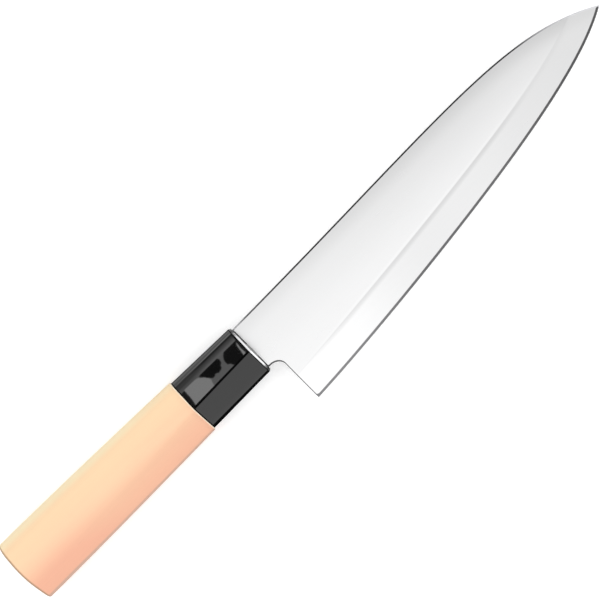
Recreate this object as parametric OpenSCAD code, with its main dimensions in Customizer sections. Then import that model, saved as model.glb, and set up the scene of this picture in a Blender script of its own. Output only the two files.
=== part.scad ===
// Japanese kitchen knife: a one-piece steel blade whose hidden tang runs through a black
// plastic ferrule into a D-section wooden handle, held there by a cured adhesive.
// The knife lies on its left side: +X to the tip, +Y to the spine, +Z out of the right side.

/* [Blade] */
// Reach of the blade from its shoulders to the tip
blade_reach = 185.8; // [150:0.1:220]
// Length of the neck, from the shoulders to the heel
neck_len = 5.7; // [4:0.1:10]
// Height of the neck at the ferrule
neck_h = 20.2; // [18:0.1:21]
// Drop of the heel's corner below the handle's axis
heel_drop = 31.3; // [27:0.1:36]
// Radius of the hollow between the neck and the heel
heel_fillet_r = 4.5; // [1:0.1:5]
// Thickness of the steel
blade_t = 2; // [1.8:0.05:3]
// Width of the ground bevel at the heel
bevel_w = 11.4; // [7:0.1:14]
// Width of the honed bevel along the cutting edge
hone_w = 0.6; // [0.3:0.05:1]
// Thickness where the honed bevel begins
hone_t = 0.35; // [0.25:0.01:0.6]
// Thickness left at the cutting edge
edge_t = 0.1; // [0.06:0.01:0.2]

/* [Tang] */
// Length of the tang behind the shoulders
tang_len = 85; // [60:0.5:100]
// Height of the tang at the shoulders
tang_root_h = 12; // [9:0.1:14]
// Height of the tang at its end
tang_end_h = 6; // [5:0.1:8]
// Thickness of the tang
tang_t = 1.7; // [1.2:0.05:1.75]
// Chamfer on the corners of the tang's end
tang_chamfer = 2; // [0.5:0.1:2.4]

/* [Ferrule] */
// Length of the ferrule
ferrule_len = 30.8; // [22:0.1:40]
// Height of the ferrule at its front
ferrule_front_h = 22.4; // [21.8:0.1:24]
// Height of the ferrule where it meets the wood
ferrule_rear_h = 23.6; // [23.3:0.1:24.6]
// Rise of the ridge above the blade's middle plane at the front
ferrule_front_ridge = 9; // [8:0.1:10]
// Rise of the ridge where the ferrule meets the wood
ferrule_rear_ridge = 9.5; // [9:0.1:10.2]
// Depth of the rounded left side at the front
ferrule_front_depth = 8; // [7:0.1:9]
// Depth of the rounded left side where the ferrule meets the wood
ferrule_rear_depth = 8.4; // [8:0.1:9]
// Thickness of the ferrule's side wall at its front
ferrule_wall = 1.8; // [1.2:0.1:2.2]
// Thickness of the ferrule's front wall
ferrule_front_wall = 3; // [1.5:0.1:5]
// Radius of the rim around the front face
rim_r = 0.8; // [0.3:0.1:1.1]
// Half width of the softened ridge of the ferrule
ferrule_ridge_soft = 0.25; // [0.1:0.05:0.8]

/* [Wooden handle] */
// Length of the wood that shows behind the ferrule
wood_len = 89.7; // [70:0.1:110]
// Height of the wood at the ferrule
wood_front_h = 24.7; // [24:0.1:26]
// Height of the wood at the butt
wood_butt_h = 27.7; // [25:0.1:31]
// Rise of the wood's ridge at the ferrule
wood_front_ridge = 10.1; // [9.6:0.1:11]
// Rise of the wood's ridge at the butt
wood_butt_ridge = 11; // [10:0.1:13]
// Depth of the rounded left side at the ferrule
wood_front_depth = 9; // [8.5:0.1:10]
// Depth of the rounded left side at the butt
wood_butt_depth = 9.7; // [9:0.1:12]
// Easing of the wood's edge beside the ferrule
shoulder_ease = 0.4; // [0.2:0.05:0.5]
// Easing of the edge around the butt
butt_ease = 1; // [0.4:0.1:2.5]
// Half width of the wood's softened ridge
wood_ridge_soft = 1.4; // [0.3:0.1:2.5]

/* [Fits] */
// Gap between the wooden tenon and the ferrule's socket
tenon_gap = 0.1; // [0.05:0.01:0.3]
// Gap between the tenon's end and the ferrule's front wall
tenon_end_gap = 0.3; // [0.1:0.05:0.8]
// Thickness of the adhesive around the tang
slot_gap = 0.4; // [0.2:0.05:0.6]
// Depth of adhesive beyond the tang's end
slot_end_gap = 1; // [0.5:0.1:3]

/* [Hidden] */
$fn = 64;

// Outline of the blade: control points as shares of the reach and of half the neck's height,
// and as shares of the cutting length and of the heel's drop
spine_shares = [[0, 1], [0.61, 1.14], [0.82, 1.89], [1, 0]];
edge_shares = [[0, -1], [0.25, -0.92], [0.5, -0.703], [0.85, -0.53], [1, 0]];
// Width of the bevel from the heel to the tip, as shares of its width at the heel
bevel_w_shares = [1, 1.12, 0.9, 0.84];
outline_steps = 40;
fillet_steps = 10;

// D-section: places down from the top, and heights, as shares of its height and its ridge
ridge_down_share = 0.54;
upper_corner_share = 0.49;
upper_flat_share = 0.2;
lower_flat_share = 0.87;
lower_corner_share = 0.13;
corner_steps = 5;
round_steps = 16;
// How early the wood's taper is taken up behind the ferrule
taper_power = 1.6;
taper_steps = 8;
ease_steps = 3;

cut_length = blade_reach - neck_len;
handle_len = ferrule_len + wood_len;
tenon_front = ferrule_front_wall + tenon_end_gap;
tenon_sink = shoulder_ease * 4;
// A cut runs past the surface that it opens by this much
cut_over = blade_t / 4;
// The origin lies under the middle of the knife's box
mid_x = (blade_reach - handle_len) / 2;
mid_y = (wood_butt_h / 2 - heel_drop) / 2;
rest_z = wood_butt_depth;

function mix(a, b, t) = a + (b - a) * t;
function front_of(p) = [for (i = [0 : len(p) - 2]) p[i]];
function back_of(p) = [for (i = [1 : len(p) - 1]) p[i]];
// A point of the curve whose control points are p
function bezier(p, t) =
    len(p) == 1 ? p[0] : mix(bezier(front_of(p), t), bezier(back_of(p), t), t);
// The curve's direction there
function bezier_slope(p, t) = bezier(back_of(p), t) - bezier(front_of(p), t);
function times(a, b) = [a[0] * b[0], a[1] * b[1]];

// Blade
function spine_at(t) = times(bezier(spine_shares, t), [blade_reach, neck_h / 2]);
function edge_at(t) = [neck_len, 0] + times(bezier(edge_shares, t), [cut_length, heel_drop]);
// Direction across the blade from the edge towards the spine
function inward_at(t) =
    let (d = times(bezier_slope(edge_shares, t), [cut_length, heel_drop]))
    [-d[1], d[0]] / norm(d);

heel_hollow = [
    for (i = [0 : fillet_steps])
        let (a = 90 * i / fillet_steps)
        [neck_len - heel_fillet_r, -neck_h / 2 - heel_fillet_r] + heel_fillet_r * [cos(a), sin(a)]
];
blade_outline = concat(
    [for (i = [0 : outline_steps]) spine_at(i / outline_steps)],
    [for (i = [outline_steps - 1 : -1 : 0]) edge_at(i / outline_steps)],
    heel_hollow,
    [[0, -neck_h / 2]]
);

// Steel ground away on the right side, as one ring across the bevel
function waste_ring(t) =
    let (
        w = bevel_w * bezier(bevel_w_shares, t),
        hone_slope = (hone_t - edge_t) / 2 / hone_w,
        bevel_slope = (blade_t - hone_t) / 2 / (w - hone_w),
        top = blade_t / 2 + cut_over,
        across = [
            [-cut_over, top],
            [w + cut_over / bevel_slope, top],
            [hone_w, hone_t / 2],
            [-cut_over, edge_t / 2 - cut_over * hone_slope]
        ]
    )
    [for (q = across) concat(edge_at(t) + inward_at(t) * q[0], [q[1]])];

// Closed skin through rings of points, with a fan over each end
module loft(rings) {
    m = len(rings[0]);
    last = (len(rings) - 1) * m;
    sides = [
        for (i = [0 : len(rings) - 2], j = [0 : m - 1])
            let (a = i * m + j, b = i * m + (j + 1) % m)
            each [[a, b, b + m], [a, b + m, a + m]]
    ];
    ends = [for (j = [1 : m - 2]) each [[0, j + 1, j], [last, last + j, last + j + 1]]];
    polyhedron(points = [for (r = rings) each r], faces = concat(sides, ends), convexity = 4);
}

module bevel_waste() {
    loft([for (i = [-1 : outline_steps + 1]) waste_ring(i / outline_steps)]);
}

// Outline of the tang, or of the slot around it when grown
function tang_outline(front, grow, end_grow) =
    let (
        root = tang_root_h / 2 + grow,
        end = tang_end_h / 2 + grow,
        back = -tang_len - end_grow
    )
    [
        [front, root], [0, root],
        [back + tang_chamfer, end], [back, end - tang_chamfer],
        [back, tang_chamfer - end], [back + tang_chamfer, -end],
        [0, -root], [front, -root]
    ];

// An outline in the blade's plane, given a thickness about its middle
module plate(points, t) {
    translate([0, 0, -t / 2])
        linear_extrude(t)
            polygon(points);
}

module tang() {
    plate(tang_outline(neck_len / 2, 0, 0), tang_t);
}

module tang_slot(front) {
    plate(tang_outline(front, slot_gap, slot_end_gap), tang_t + 2 * slot_gap);
}

// Handle
function curve_points(p, steps) = [for (i = [0 : steps]) bezier(p, i / steps)];
// D-section from the top down the ridged right side and back up the rounded left side,
// as points of height and thickness. soft is half the width of the softened ridge.
function d_section(h, ridge, depth, soft) =
    let (
        top = h / 2,
        ridge_y = top - ridge_down_share * h,
        ridge_point = [ridge_y, ridge],
        upper_corner = [top, upper_corner_share * ridge],
        lower_corner = [-top, lower_corner_share * ridge],
        up = (upper_corner - ridge_point) / norm(upper_corner - ridge_point),
        down = (lower_corner - ridge_point) / norm(lower_corner - ridge_point),
        upper_flat = mix(upper_corner, ridge_point, upper_flat_share / ridge_down_share),
        lower_flat = mix(ridge_point, lower_corner,
            (lower_flat_share - ridge_down_share) / (1 - ridge_down_share))
    )
    concat(
        curve_points([[top, 0], upper_corner, upper_flat], corner_steps),
        curve_points([ridge_point + up * soft, ridge_point, ridge_point + down * soft], corner_steps),
        curve_points([lower_flat, lower_corner, [-top, 0]], corner_steps),
        [
            for (i = [1 : round_steps - 1])
                let (a = 180 * i / round_steps)
                [-top * cos(a), -depth * sin(a)]
        ]
    );
function section_ring(x, h, ridge, depth, soft) =
    [for (p = d_section(h, ridge, depth, soft)) [x, p[0], p[1]]];

// Rings of a quarter-round rim, inset being r at its outer end and zero at the full section
function eased(r, i) = r * (1 - cos(90 * i / ease_steps));
function ease_back(r, i) = r * (1 - sin(90 * i / ease_steps));

function ferrule_ring(back, inset) =
    let (t = back / ferrule_len)
    section_ring(-back,
        mix(ferrule_front_h, ferrule_rear_h, t) - 2 * inset,
        mix(ferrule_front_ridge, ferrule_rear_ridge, t) - inset,
        mix(ferrule_front_depth, ferrule_rear_depth, t) - inset,
        ferrule_ridge_soft);
ferrule_rings = concat(
    [for (i = [ease_steps : -1 : 0]) ferrule_ring(ease_back(rim_r, ease_steps - i), eased(rim_r, i))],
    [ferrule_ring(ferrule_len, 0)]
);

function wood_ring(back, inset) =
    let (
        u = min(1, back / (wood_len - butt_ease)),
        t = 1 - pow(1 - u, taper_power)
    )
    section_ring(-ferrule_len - back,
        mix(wood_front_h, wood_butt_h, t) - 2 * inset,
        mix(wood_front_ridge, wood_butt_ridge, t) - inset,
        mix(wood_front_depth, wood_butt_depth, t) - inset,
        wood_ridge_soft);
wood_rings = concat(
    [wood_ring(0, shoulder_ease)],
    [
        for (i = [0 : taper_steps])
            wood_ring(mix(shoulder_ease, wood_len - butt_ease, i / taper_steps), 0)
    ],
    [for (i = [1 : ease_steps]) wood_ring(wood_len - ease_back(butt_ease, i), eased(butt_ease, i))]
);

// Straight D-section bar inside the ferrule's wall, from one distance behind the front to another
module inner_bar(from, to, gap) {
    inset = ferrule_wall - gap;
    translate([-to, 0, 0])
        rotate([90, 0, 90])
            linear_extrude(to - from)
                polygon(d_section(
                    ferrule_front_h - 2 * inset,
                    ferrule_front_ridge - inset,
                    ferrule_front_depth - inset,
                    ferrule_ridge_soft));
}

// Moves the knife from the blade's axis to its resting frame
module at_rest() {
    translate([-mid_x, -mid_y, rest_z])
        children();
}

module blade() {
    color("silver")
        at_rest()
            union() {
                difference() {
                    plate(blade_outline, blade_t);
                    bevel_waste();
                    mirror([0, 0, 1])
                        bevel_waste();
                }
                tang();
            }
}

module ferrule() {
    color("black")
        at_rest()
            difference() {
                loft(ferrule_rings);
                inner_bar(ferrule_front_wall, ferrule_len + cut_over, tenon_gap);
                tang_slot(cut_over);
            }
}

module handle() {
    color("peachpuff")
        at_rest()
            difference() {
                union() {
                    loft(wood_rings);
                    inner_bar(tenon_front, ferrule_len + tenon_sink, 0);
                }
                tang_slot(cut_over);
            }
}

module tang_adhesive() {
    color("dimgray")
        at_rest()
            difference() {
                tang_slot(0);
                tang();
            }
}

blade();
ferrule();
handle();
tang_adhesive();
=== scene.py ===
"""Looks of a Japanese kitchen knife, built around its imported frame.

A satin steel blade with a ground bevel runs into a glossy black ferrule and a pale D-section
wooden handle. Every shape is written in metres, in the frame's own axes: +X to the tip, +Y to
the spine and +Z out of the right side.
"""

import logging
import math
from dataclasses import astuple, dataclass, replace
from enum import Enum

import bmesh
import bpy
import numpy as np
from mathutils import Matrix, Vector
from mathutils.geometry import delaunay_2d_cdt


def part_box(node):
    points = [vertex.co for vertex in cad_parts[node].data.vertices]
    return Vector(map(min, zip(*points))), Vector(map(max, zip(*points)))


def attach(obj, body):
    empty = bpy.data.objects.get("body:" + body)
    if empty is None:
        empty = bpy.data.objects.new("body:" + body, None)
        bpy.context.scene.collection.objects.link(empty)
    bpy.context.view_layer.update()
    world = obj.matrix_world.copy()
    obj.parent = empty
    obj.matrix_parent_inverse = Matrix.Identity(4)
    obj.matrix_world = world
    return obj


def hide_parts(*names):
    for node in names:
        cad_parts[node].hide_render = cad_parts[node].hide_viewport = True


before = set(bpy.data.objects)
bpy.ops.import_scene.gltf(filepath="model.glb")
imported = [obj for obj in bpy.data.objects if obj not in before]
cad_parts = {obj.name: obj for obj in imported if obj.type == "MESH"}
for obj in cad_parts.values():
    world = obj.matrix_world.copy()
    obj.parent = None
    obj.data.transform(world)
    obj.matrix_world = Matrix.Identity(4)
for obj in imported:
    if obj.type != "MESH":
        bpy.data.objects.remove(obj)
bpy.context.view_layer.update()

LOG = logging.getLogger("kitchen_knife")
MM = 0.001
BODY = "root"
MERGE_DISTANCE = 1e-6
TINY = 1e-12

Colour = tuple[float, float, float]
Triple = tuple[float, float, float]
Point = tuple[float, float]


# Nodes

class Value:
    """A number on its way through a node tree; arithmetic on it adds Math nodes."""

    def __init__(self, tree: bpy.types.NodeTree, socket: bpy.types.NodeSocket) -> None:
        """Keeps the tree and the output socket that carries the number."""
        self.tree = tree
        self.socket = socket

    def _math(self, operation: str, *terms: "Value | float") -> "Value":
        """Adds one Math node, with its inputs in order, and returns its result."""
        return TreeMaker(self.tree).value(
            "ShaderNodeMath", dict(enumerate(terms)), operation=operation)

    def __add__(self, other: "Value | float") -> "Value":
        """Returns the sum."""
        return self._math("ADD", self, other)

    def __radd__(self, other: float) -> "Value":
        """Returns the sum with the number first."""
        return self._math("ADD", other, self)

    def __sub__(self, other: "Value | float") -> "Value":
        """Returns the difference."""
        return self._math("SUBTRACT", self, other)

    def __rsub__(self, other: float) -> "Value":
        """Returns the number less this value."""
        return self._math("SUBTRACT", other, self)

    def __mul__(self, other: "Value | float") -> "Value":
        """Returns the product."""
        return self._math("MULTIPLY", self, other)

    def __truediv__(self, other: "Value | float") -> "Value":
        """Returns the quotient."""
        return self._math("DIVIDE", self, other)

    def call(self, operation: str, *others: "Value | float") -> "Value":
        """Returns the Math node's result for an operation that has no sign of its own."""
        return self._math(operation, self, *others)

    def towards(self, other: "Value", share: "Value | float") -> "Value":
        """Returns the value that lies a share of the way to another."""
        return self + (other - self) * share

    def swing(self, amount: float) -> "Value":
        """Returns how far a pattern lies from a half, times an amount."""
        return (self - 0.5) * amount


@dataclass(frozen=True)
class Spot:
    """A point of the cross-section inside a node tree: across is height, out is thickness."""

    across: "Value | float"
    out: "Value | float"

    def towards(self, other: "Spot", share: "Value | float") -> "Spot":
        """Returns the point that lies a share of the way to another."""
        across, out = other.across - self.across, other.out - self.out
        return Spot(self.across + across * share, self.out + out * share)

    def stepped_to(self, other: "Spot", length: Value) -> "Spot":
        """Returns the point at a length from this one, in the direction of another.

        Args:
            other: The point that the step heads for.
            length: How far the step goes.

        Returns:
            The point at the step's end.
        """
        across = other.across - self.across
        out = other.out - self.out
        reach = (across * across + out * out).call("SQRT")
        return self.towards(other, length / reach)


class TreeMaker:
    """Adds nodes to a tree, with their settings and inputs given by name."""

    def __init__(self, tree: bpy.types.NodeTree) -> None:
        """Keeps the tree that the nodes go into."""
        self.tree = tree

    def add(self, kind: str, inputs: dict | None = None, **settings: object) -> bpy.types.Node:
        """Adds a node.

        Args:
            kind: The node's type.
            inputs: Socket name or number, with a Value, a socket or a plain value for it.
            settings: The node's own properties.

        Returns:
            The new node.
        """
        node = self.tree.nodes.new(kind)
        for name, setting in settings.items():
            setattr(node, name, setting)
        for name, term in (inputs or {}).items():
            self.feed(node.inputs[name], term)
        return node

    def feed(self, socket: bpy.types.NodeSocket, term: object) -> None:
        """Gives an input what it takes.

        Args:
            socket: The input.
            term: A Value or a socket to link to it, or a plain value to set on it.
        """
        if isinstance(term, Value):
            term = term.socket
        if isinstance(term, bpy.types.NodeSocket):
            self.tree.links.new(term, socket)
        else:
            socket.default_value = term

    def value(self, kind: str, inputs: dict | None = None, out: str | int = 0,
              **settings: object) -> Value:
        """Adds a node and returns one of its outputs as a Value."""
        return Value(self.tree, self.add(kind, inputs, **settings).outputs[out])


@dataclass(frozen=True)
class Ramp:
    """A smooth change from one place on a scale to another, which holds its ends."""

    low: float
    high: float
    at_low: float = 0.0
    at_high: float = 1.0

    def of(self, value: Value) -> Value:
        """Maps a value.

        Args:
            value: A place on the scale.

        Returns:
            What the ramp makes of it.
        """
        return TreeMaker(value.tree).value("ShaderNodeMapRange", {
            "Value": value,
            "From Min": self.low,
            "From Max": self.high,
            "To Min": self.at_low,
            "To Max": self.at_high,
        }, interpolation_type="SMOOTHSTEP")


@dataclass(frozen=True)
class Between:
    """A smooth rise and a smooth fall, one after the other on the same scale."""

    rise: Ramp
    fall: Ramp

    def of(self, value: Value) -> Value:
        """Returns how much of the stretch between the rise and the fall a value has."""
        return self.rise.of(value) * self.fall.of(value)


@dataclass(frozen=True)
class Pattern:
    """A noise pattern: factors on X, Y and Z, of which a small one draws the pattern out along
    its axis, cycles in a metre where the factor is one, and octaves."""

    stretch: Triple
    scale: float
    detail: float


class SurfaceMaker(TreeMaker):
    """Makes the nodes of a material or of the surroundings."""

    def __init__(self, owner: bpy.types.Material | bpy.types.World) -> None:
        """Empties the owner's nodes.

        Args:
            owner: The material or the world that the nodes go into.
        """
        owner.use_nodes = True
        owner.node_tree.nodes.clear()
        super().__init__(owner.node_tree)

    def surface(self, shader: bpy.types.Node, kind: str = "ShaderNodeOutputMaterial") -> None:
        """Makes a shader the owner's surface."""
        self.add(kind, {"Surface": shader.outputs[0]})

    def both(self, first: bpy.types.Node, second: bpy.types.Node) -> bpy.types.Node:
        """Returns the sum of two shaders."""
        return self.add("ShaderNodeAddShader", {0: first.outputs[0], 1: second.outputs[0]})

    def rays(self) -> tuple[Value, Value]:
        """Returns two values, 1 for a ray from the camera and 1 for a ray from gloss."""
        outputs = self.add("ShaderNodeLightPath").outputs
        return Value(self.tree, outputs["Is Camera Ray"]), Value(self.tree, outputs["Is Glossy Ray"])

    def coordinates(self) -> bpy.types.NodeSocket:
        """Returns the object's own coordinates, in metres."""
        return self.add("ShaderNodeTexCoord").outputs["Object"]

    def place(self, axis: int) -> Value:
        """Returns one of the object's own coordinates, in metres."""
        return self.value("ShaderNodeSeparateXYZ", {"Vector": self.coordinates()}, out=axis)

    def along(self, start: float, end: float) -> Value:
        """Returns the share of the way along X from one place to another."""
        return (self.place(0) - start) / (end - start)

    def attribute(self, name: str) -> Value:
        """Returns a float attribute of the piece."""
        return self.value("ShaderNodeAttribute", out="Fac", attribute_name=name)

    def edges(self) -> tuple[Value, Value]:
        """Returns the positive part of the piece's edge mark, and the size of the negative."""
        edge = self.attribute("edge")
        return edge.call("MAXIMUM", 0.0), (edge * -1.0).call("MAXIMUM", 0.0)

    def noise(self, pattern: Pattern) -> Value:
        """Adds a noise pattern on the object's own coordinates.

        Args:
            pattern: The pattern's sizes.

        Returns:
            The noise, about a half on average.
        """
        mapping = self.add("ShaderNodeMapping", {
            "Vector": self.coordinates(), "Scale": pattern.stretch})
        return self.value("ShaderNodeTexNoise", {
            "Vector": mapping.outputs[0], "Scale": pattern.scale, "Detail": pattern.detail})

    def blend(self, share: Value, first: object, second: object) -> bpy.types.NodeSocket:
        """Mixes two colours.

        Args:
            share: How much of the second there is.
            first: A colour or a colour socket.
            second: A colour or a colour socket.

        Returns:
            The mixed colour's socket.
        """
        node = self.add("ShaderNodeMix", {0: share}, data_type="RGBA")
        for place, term in ((6, first), (7, second)):
            self.feed(node.inputs[place], (*term, 1.0) if isinstance(term, tuple) else term)
        return node.outputs[2]

    def tint(self, colour: object, factor: Value) -> bpy.types.NodeSocket:
        """Returns a colour, or a colour socket, times a number."""
        inputs = {0: colour, 1: factor}
        return self.add("ShaderNodeVectorMath", inputs, operation="MULTIPLY").outputs[0]

    def relief(self, height: Value, depth: float) -> bpy.types.NodeSocket:
        """Returns the normal of a pattern from 0 to 1 that is as deep as said, in metres."""
        sizes = {"Height": height, "Strength": 1.0, "Distance": depth}
        return self.add("ShaderNodeBump", sizes).outputs[0]


# Finishes

@dataclass(frozen=True)
class Finish:
    """A surface finish: a name and the settings of its main shader."""

    name: str
    colour: Colour
    roughness: float

    def material(self) -> bpy.types.Material:
        """Builds the finish.

        Returns:
            A material whose nodes read Object coordinates or the piece's own attributes.
        """
        material = bpy.data.materials.new(self.name)
        maker = SurfaceMaker(material)
        shader = maker.add("ShaderNodeBsdfPrincipled")
        plain = {"Base Color": (*self.colour, 1.0), "Roughness": self.roughness}
        for socket, term in {**plain, **self.dress(maker)}.items():
            maker.feed(shader.inputs[socket], term)
        maker.surface(shader)
        return material

    def dress(self, maker: SurfaceMaker) -> dict[str, object]:
        """Returns the shader's inputs that have a pattern or a value of their own, by name."""
        return {}


@dataclass(frozen=True)
class SatinSteel(Finish):
    """Stainless steel with fine lines along the blade and painted light and shade in its tone.

    The tones were fitted to the photo's brightness and are mostly painted light: a painted
    reflection brightest at the heel and on the bevel, painted shade towards the spine, and a
    painted shade line along the bevel line with a painted highlight just beyond it.
    Places along the blade are shares of its length from the heel. Distances from the spine and
    beyond the bevel line are in millimetres.
    """

    heel_x: float
    tip_x: float
    mottle: Pattern = Pattern((0.5, 1.0, 1.0), 55.0, 2.0)
    mottle_contrast: float = 0.03
    mottle_roughness: float = 0.06
    lines: Pattern = Pattern((0.012, 1.0, 0.2), 5200.0, 2.0)
    line_contrast: float = 0.04
    line_roughness: float = 0.1
    line_depth: float = 0.0006 * MM
    flat_painted_light: float = 0.984
    flat_painted_light_fall: float = 0.075
    flat_painted_light_rise: Ramp = Ramp(0.55, 1.0, 0.0, 0.065)
    spine_side: Ramp = Ramp(0.0, 28.0, 1.0, 0.0)
    spine_side_shade: float = 0.068
    spine_side_growth: float = 0.155
    spine_band: Ramp = Ramp(0.5, 8.0, 1.0, 0.0)
    spine_band_shade: Ramp = Ramp(0.0, 0.35, 0.066, 0.087)
    spine_band_growth: float = 0.026
    bevel_side: Ramp = Ramp(-0.3, 0.5, 1.0, 0.0)
    bevel_painted_light: Ramp = Ramp(0.02, 0.42, 1.12, 0.9)
    bevel_painted_light_fall: Ramp = Ramp(0.5, 0.9, 0.0, 0.1)
    bevel_band_shade: float = 0.08
    painted_crease_span: Between = Between(Ramp(-0.05, 0.22), Ramp(0.62, 0.82, 1.0, 0.3))
    painted_crease_end: Ramp = Ramp(0.88, 0.96, 1.0, 0.0)
    painted_crease_shade: Between = Between(Ramp(-2.0, -0.1), Ramp(0.1, 0.6, 1.0, 0.0))
    painted_crease_shade_depth: float = 0.17
    painted_crease_highlight: Between = Between(Ramp(0.1, 0.6), Ramp(0.8, 1.8, 1.0, 0.0))
    painted_crease_highlight_height: float = 0.035

    def dress(self, maker: SurfaceMaker) -> dict[str, object]:
        """Adds the polish's mottling, the painted light and shade of its tone, and the lines.

        Args:
            maker: The maker of the finish's nodes.

        Returns:
            The shader's inputs by name.
        """
        mottle, lines = maker.noise(self.mottle), maker.noise(self.lines)
        along = maker.along(self.heel_x, self.tip_x)
        beyond, gap = maker.attribute("beyond"), maker.attribute("spine_gap")
        # Painted shade: the steel darkens towards the spine, broadly and in a narrow band.
        band = self.spine_band.of(gap)
        shade = self.spine_side.of(gap) * (along * self.spine_side_growth + self.spine_side_shade)
        shade = shade + band * (self.spine_band_shade.of(along) + along * self.spine_band_growth)
        # Painted light: the flat is brightest at the heel, dims along the blade and lifts near the
        # tip.
        flat = self.flat_painted_light - along * self.flat_painted_light_fall + self.flat_painted_light_rise.of(along)
        flat = flat * (1.0 - shade)
        # Painted reflection: the bevel is brightest near the heel and dims towards the tip.
        ground = self.bevel_painted_light.of(along) - self.bevel_painted_light_fall.of(along)
        ground = ground * (1.0 - band * self.bevel_band_shade)
        tone = flat.towards(ground, self.bevel_side.of(beyond))
        # Painted shade along the bevel line, with a painted highlight just beyond it on the flat.
        crease = self.painted_crease_shade.of(beyond) * self.painted_crease_shade_depth
        crease = crease - self.painted_crease_highlight.of(beyond) * self.painted_crease_highlight_height
        span = self.painted_crease_span.of(along) * self.painted_crease_end.of(along)
        polish = mottle.swing(self.mottle_contrast) + lines.swing(self.line_contrast) + 1.0
        rough = mottle.swing(self.mottle_roughness) + lines.swing(self.line_roughness)
        return {
            "Metallic": 1.0,
            "Base Color": maker.tint(self.colour, tone * (1.0 - span * crease) * polish),
            "Roughness": rough + self.roughness,
            "Normal": maker.relief(lines, self.line_depth),
        }


@dataclass(frozen=True)
class PaintedShadeSteel(Finish):
    """Steel painted dark as shade, for the honed edge and the blade's rim, with coarser lines.

    Places along the blade are shares of its length from the heel. The painted shade's tone
    changes near both ends, and close to the spine, in millimetres, the steel by the neck is
    painted brighter. These changes were set against the photo's brightness.
    """

    heel_x: float
    tip_x: float
    heel_tone: Ramp
    tip_tone: Ramp
    lines: Pattern = Pattern((0.02, 1.0, 0.5), 3000.0, 2.0)
    line_contrast: float = 0.2
    line_depth: float = 0.001 * MM
    spine_gap: Ramp = Ramp(1.0, 2.0, 1.0, 0.0)
    spine_heel_gain: Ramp = Ramp(0.005, 0.05, 3.0, 0.0)

    def dress(self, maker: SurfaceMaker) -> dict[str, object]:
        """Adds the coarse lines and the painted shade's slow change of tone along the blade.

        Args:
            maker: The maker of the finish's nodes.

        Returns:
            The shader's inputs by name.
        """
        lines = maker.noise(self.lines)
        along = maker.along(self.heel_x, self.tip_x)
        spine = self.spine_gap.of(maker.attribute("spine_gap"))
        # The tones scale the painted shade along the blade; by the neck near the spine it is painted
        # lighter.
        tone = self.heel_tone.of(along) * self.tip_tone.of(along)
        tone = tone * (spine * self.spine_heel_gain.of(along) + 1.0)
        return {
            "Metallic": 1.0,
            "Base Color": maker.tint(self.colour, tone * (lines.swing(self.line_contrast) + 1.0)),
            "Normal": maker.relief(lines, self.line_depth),
        }


@dataclass(frozen=True)
class GlossPlastic(Finish):
    """Polished moulded plastic, faint wipe marks, edges painted black as shade, chamfer painted as a
    highlight.
    """

    ior: float = 1.5
    marks: Pattern = Pattern((0.3, 1.0, 1.0), 900.0, 4.0)
    mark_roughness: float = 0.02
    wave: Pattern = Pattern((0.7, 1.0, 1.0), 110.0, 1.0)
    wave_depth: float = 0.002 * MM
    painted_shade_roughness: float = 0.7
    chamfer_highlight_colour: Colour = (0.85, 0.85, 0.86)
    chamfer_highlight_roughness: float = 0.05
    chamfer_highlight_height: Ramp = Ramp(0.67, 0.9, 1.0, 0.0)

    def dress(self, maker: SurfaceMaker) -> dict[str, object]:
        """Adds wipe marks to the polish, a faint wave to the surface, and the edges' painted shade
        and painted highlight.

        Args:
            maker: The maker of the finish's nodes.

        Returns:
            The shader's inputs by name.
        """
        # dull paints the marked edges dead black as shade; chamfer paints the chamfer as a
        # highlight.
        dull, chamfer = maker.edges()
        corner = maker.attribute("height_share").call("ABSOLUTE")
        # Painted highlight: the chamfer is bright metal, fading at its top and bottom.
        bright = chamfer * self.chamfer_highlight_height.of(corner)
        rough = maker.noise(self.marks).swing(self.mark_roughness) + self.roughness
        return {
            "IOR": self.ior,
            "Metallic": dull + bright,
            "Base Color": maker.blend(bright, self.colour, self.chamfer_highlight_colour),
            "Roughness": rough + dull * self.painted_shade_roughness + bright * self.chamfer_highlight_roughness,
            "Normal": maker.relief(maker.noise(self.wave), self.wave_depth),
        }


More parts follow.
